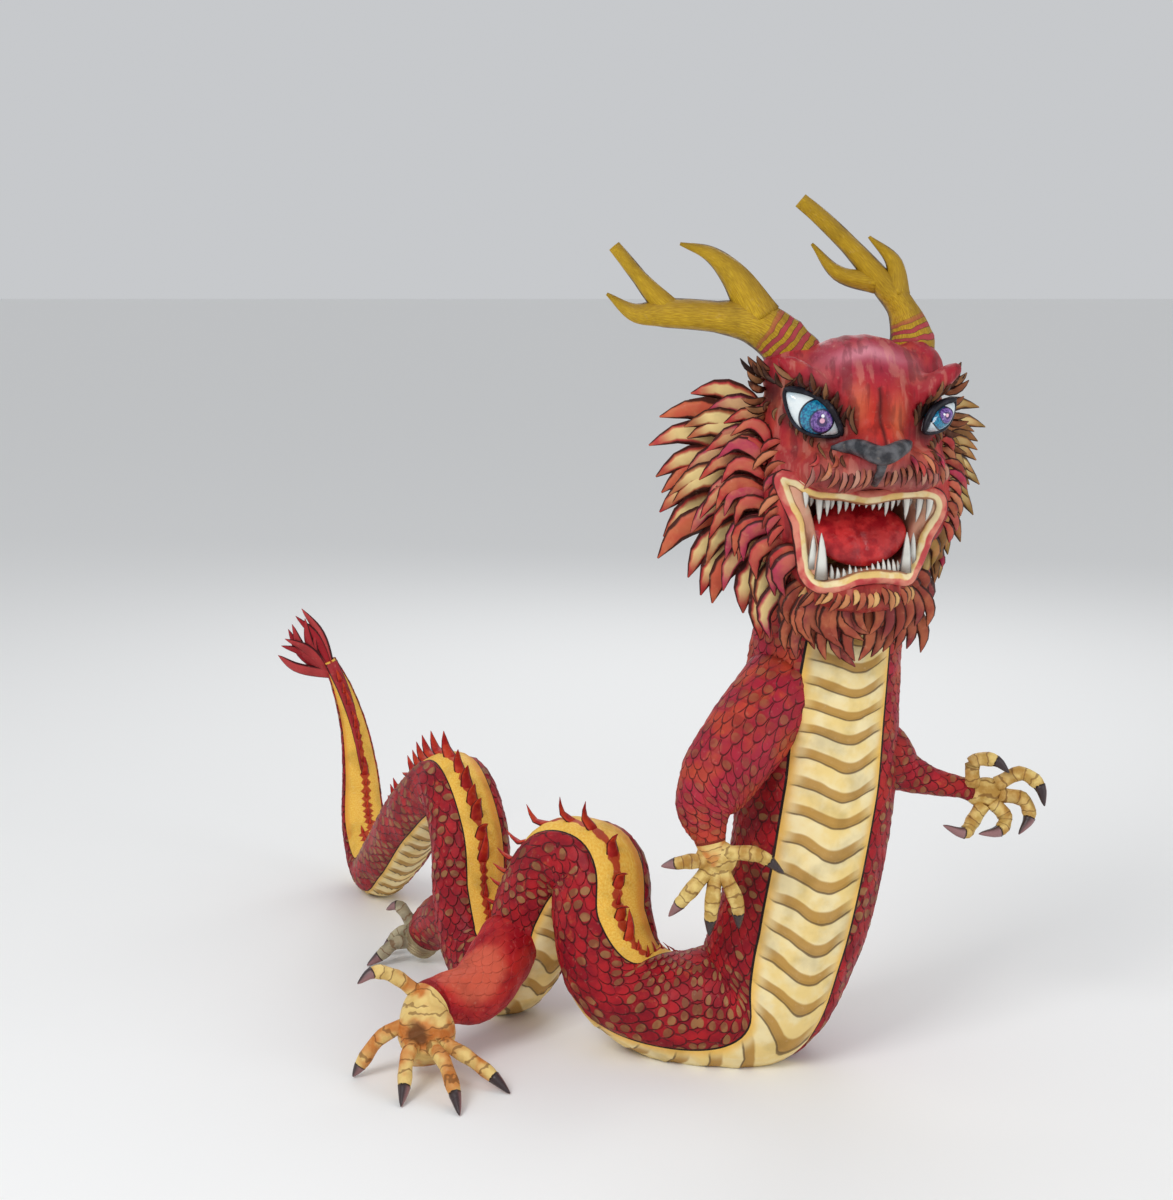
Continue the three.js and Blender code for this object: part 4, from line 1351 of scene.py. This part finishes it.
def eye_paint():
    """White, blue ring, violet heart and a small painted highlight of pink and white dots, with
    dark outlines.
    """
    p = Paint("painted_eye", 0.14, 0.5)

    def reach_from(u, v):
        du, dv = p.less(p.u, u), p.less(p.v, v)
        return p.maths("SQRT", p.plus(p.times(du, du), p.times(dv, dv)))

    reach, split = reach_from(0.0, 0.0), reach_from(0.34, -0.02)
    white = p.cloud((0.80, 0.86, 0.87), (0.50, 0.62, 0.68), 60, 2.0, 0.4, 0.7)
    rays = p.noise(7, 4.0, p.chart)
    blue = p.mix(p.step(rays, 0.42, 0.60), (0.003, 0.10, 0.24), (0.01, 0.30, 0.46))
    violet = p.mix(p.step(rays, 0.42, 0.58), (0.07, 0.025, 0.20), (0.24, 0.13, 0.44))
    iris = p.over(blue, violet, 1.0, split, 0.66, 0.62)
    iris = p.over(iris, (0.008, 0.015, 0.05), 0.85, p.apart(split, 0.66), 0.07, 0.03)
    iris = p.over(iris, (0.035, 0.010, 0.11), 1.0, reach_from(0.36, 0.0), 0.34, 0.28)
    # Painted highlight: a pink dot in the pupil and a white glint beside it.
    iris = p.over(iris, (0.80, 0.42, 0.56), 1.0, reach_from(0.34, 0.03), 0.17, 0.12)
    iris = p.over(iris, (0.88, 0.92, 0.94), 1.0, reach_from(0.20, 0.26), 0.12, 0.07)
    colour = p.over(white, iris, 1.0, reach, 1.00, 0.96)
    colour = p.over(colour, (0.008, 0.012, 0.03), 1.0, p.apart(reach, 0.99), 0.07, 0.03)
    p.link(colour, p.shader.inputs["Base Color"])
    p.link(p.step(p.noise(80, 2.0), 0.0, 1.0), p.shader.inputs["Coat Weight"])
    p.dull(p.noise(120, 3.0))
    p.link(p.bump(p.noise(300, 2.0), 0.15, 0.0004), p.shader.inputs["Normal"])
    return p.material


def teeth_paint():
    """Cold white, brown at the gum, grey along the edges."""
    p = Paint("painted_teeth", 0.3, 0.4)
    colour = p.over((0.74, 0.74, 0.68), (0.34, 0.30, 0.26), 1.0, p.u, 0.35, 0.05)
    colour = p.over(colour, (0.07, 0.065, 0.07), 0.8, p.apart(p.v), 0.66, 0.88)
    return p.finish(colour, p.noise(80, 2.0), 0.0004, 0.0)


def tongue_paint():
    p = Paint("painted_tongue", 0.34, 0.4)
    colour = p.cloud((0.36, 0.006, 0.012), (0.60, 0.03, 0.03), 70, 4.0, 0.38, 0.64)
    return p.finish(colour, p.noise(160, 2.0), 0.0012, 0.05)


def mouth_paint():
    """Pale flesh by the corners, red further in."""
    p = Paint("painted_mouth", 0.42)
    flesh = p.cloud((0.70, 0.36, 0.24), (0.80, 0.56, 0.38), 26, 3.0, 0.42, 0.60)
    red = p.cloud((0.16, 0.006, 0.010), (0.42, 0.035, 0.03), 30, 3.0, 0.42, 0.60)
    colour = p.over(flesh, red, 1.0, p.apart(p.u), 0.70, 0.46)
    colour = p.over(colour, flesh, 0.8, p.v, -0.98, -1.16)
    return p.finish(colour, p.noise(50, 2.0), 0.0010, 0.03)


def lips_paint():
    """Dark outline, pink-red outer roll, cream and yellow inner roll."""
    p = Paint("painted_lips", 0.4)
    cream = p.cloud((0.82, 0.56, 0.20), (0.90, 0.74, 0.42), 40, 3.0, 0.42, 0.58)
    pink = p.cloud((0.56, 0.07, 0.07), (0.74, 0.26, 0.18), 36, 3.0, 0.42, 0.60)
    across = p.plus(p.v, p.wander(30, 2.0, 0.9))
    colour = p.over(cream, pink, 1.0, across, -0.12, 0.10)
    colour = p.over(colour, (0.05, 0.008, 0.008), 1.0, across, 0.80, 0.90)
    colour = p.over(colour, (0.30, 0.08, 0.05), 0.8, across, -0.70, -0.86)
    return p.finish(colour, p.noise(60, 2.0), 0.0008, 0.05)


def nose_paint():
    p = Paint("painted_nose", 0.38, 0.4)
    colour = p.cloud((0.020, 0.022, 0.028), (0.12, 0.12, 0.13), 60, 4.0, 0.4, 0.66)
    return p.finish(colour, p.noise(200, 2.0), 0.0010, 0.1)


def spikes_paint():
    p = Paint("painted_spikes", 0.48)
    colour = p.cloud((0.40, 0.012, 0.010), (0.58, 0.05, 0.015), 60, 3.0, 0.40, 0.62)
    colour = p.over(colour, (0.05, 0.006, 0.005), 1.0, p.apart(p.v), 0.74, 0.90)
    return p.finish(colour, p.noise(40, 3.0), 0.0010, 0.08)


def tuft_paint():
    p = Paint("painted_tail_tuft", 0.5)
    colour = p.mix(p.tint_r, (0.34, 0.008, 0.018), (0.50, 0.06, 0.06))
    colour = p.over(colour, (0.05, 0.006, 0.008), 1.0, p.apart(p.v), 0.66, 0.88)
    return p.finish(colour, p.noise(50, 3.0), 0.0012, 0.1)


MAKERS = {
    "scales": scales_paint, "gold_back": gold_paint, "belly": belly_paint,
    "ink": ink_paint, "antler": antler_paint, "claw": claw_paint, "digits": digits_paint,
    "face": face_paint, "flames": flame_paint, "eye": eye_paint, "teeth": teeth_paint,
    "tongue": tongue_paint, "mouth": mouth_paint, "lips": lips_paint, "nose": nose_paint,
    "hair": lambda: flame_paint("painted_brow_hair", 0.1), "spikes": spikes_paint,
    "tuft": tuft_paint, "lid": lambda: ink_paint("eyelid_line", LID_INK, 0.35),
}


# ---- put the casting together -----------------------------------------------------------------
make_trunk()
make_back_spikes()
make_limbs()
make_tail_tuft()
make_tuft_root()
make_antlers()
head_open, head_skin = make_head_form()
make_head()
make_eye(EYE_LEFT, EYE_LEFT_HALF, slant=38, look=(0.30, -0.05), facing=-8)
make_eye(EYE_RIGHT, EYE_RIGHT_HALF, slant=-40, look=(-0.15, 0.0), facing=18)
make_tongue_and_nose()
make_lips()
make_teeth()
make_mane()
make_nape()
make_brows_and_beard()

casting = bmesh.new()
for shell in shells:
    casting.from_mesh(shell)
mesh = bpy.data.meshes.new("dragon_painted")
casting.to_mesh(mesh)
casting.free()
for shell in shells:
    bpy.data.meshes.remove(shell)
for name in PAINTS:
    mesh.materials.append(MAKERS[name]())
dragon = bpy.data.objects.new("dragon_painted", mesh)
bpy.context.scene.collection.objects.link(dragon)
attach(dragon, "root")
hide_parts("dragon")

# ---- floor, light and camera ------------------------------------------------------------------
FLOOR_HALF = 40.0
FLOOR_GREY = (0.90, 0.90, 0.89, 1)
WORLD_GREY = (0.92, 0.94, 0.97, 1)
WORLD_POWER = 0.62

floor_mesh = bmesh.new()
bmesh.ops.create_grid(floor_mesh, x_segments=1, y_segments=1, size=FLOOR_HALF)
floor_data = bpy.data.meshes.new("floor")
floor_mesh.to_mesh(floor_data)
floor_mesh.free()
floor = bpy.data.objects.new("floor", floor_data)
bpy.context.scene.collection.objects.link(floor)
floor_paint = bpy.data.materials.new("pale_floor")
floor_paint.use_nodes = True
floor_shader = floor_paint.node_tree.nodes["Principled BSDF"]
floor_shader.inputs["Base Color"].default_value = FLOOR_GREY
floor_shader.inputs["Roughness"].default_value = 0.9
floor_data.materials.append(floor_paint)

bpy.context.scene.view_settings.view_transform = "Standard"
world = bpy.data.worlds.new("studio")
world.use_nodes = True
sky = world.node_tree.nodes["Background"]
sky.inputs["Color"].default_value = WORLD_GREY
sky.inputs["Strength"].default_value = WORLD_POWER
bpy.context.scene.world = world


def lamp(name, at, aim, size, power):
    data = bpy.data.lights.new(name, "AREA")
    data.size, data.energy = size, power
    made = bpy.data.objects.new(name, data)
    made.location = at
    made.rotation_euler = (Vector(aim) - Vector(at)).to_track_quat("-Z", "Y").to_euler()
    bpy.context.scene.collection.objects.link(made)


lamp("key", (-1.8, -2.6, 3.0), (0, 0, 0.6), 1.6, 62)
lamp("fill", (2.6, -1.8, 1.4), (0, 0, 0.5), 2.2, 20)
lamp("rear", (0.4, 2.6, 2.4), (0, 0, 0.6), 2.0, 22)

VIEW_TILT = math.radians(10)
VIEW_DISTANCE = 2.64
VIEW_HEIGHT = 0.62
aim = Vector((SHIFT.x / 1000, SHIFT.y / 1000, VIEW_HEIGHT))
camera_data = bpy.data.cameras.new("view")
camera_data.lens, camera_data.sensor_width = 60, 36
camera = bpy.data.objects.new("view", camera_data)
camera.location = aim + Vector((0, -math.cos(VIEW_TILT), math.sin(VIEW_TILT))) * VIEW_DISTANCE
camera.rotation_euler = (math.radians(90) - VIEW_TILT, 0, 0)
bpy.context.scene.collection.objects.link(camera)
bpy.context.scene.camera = camera
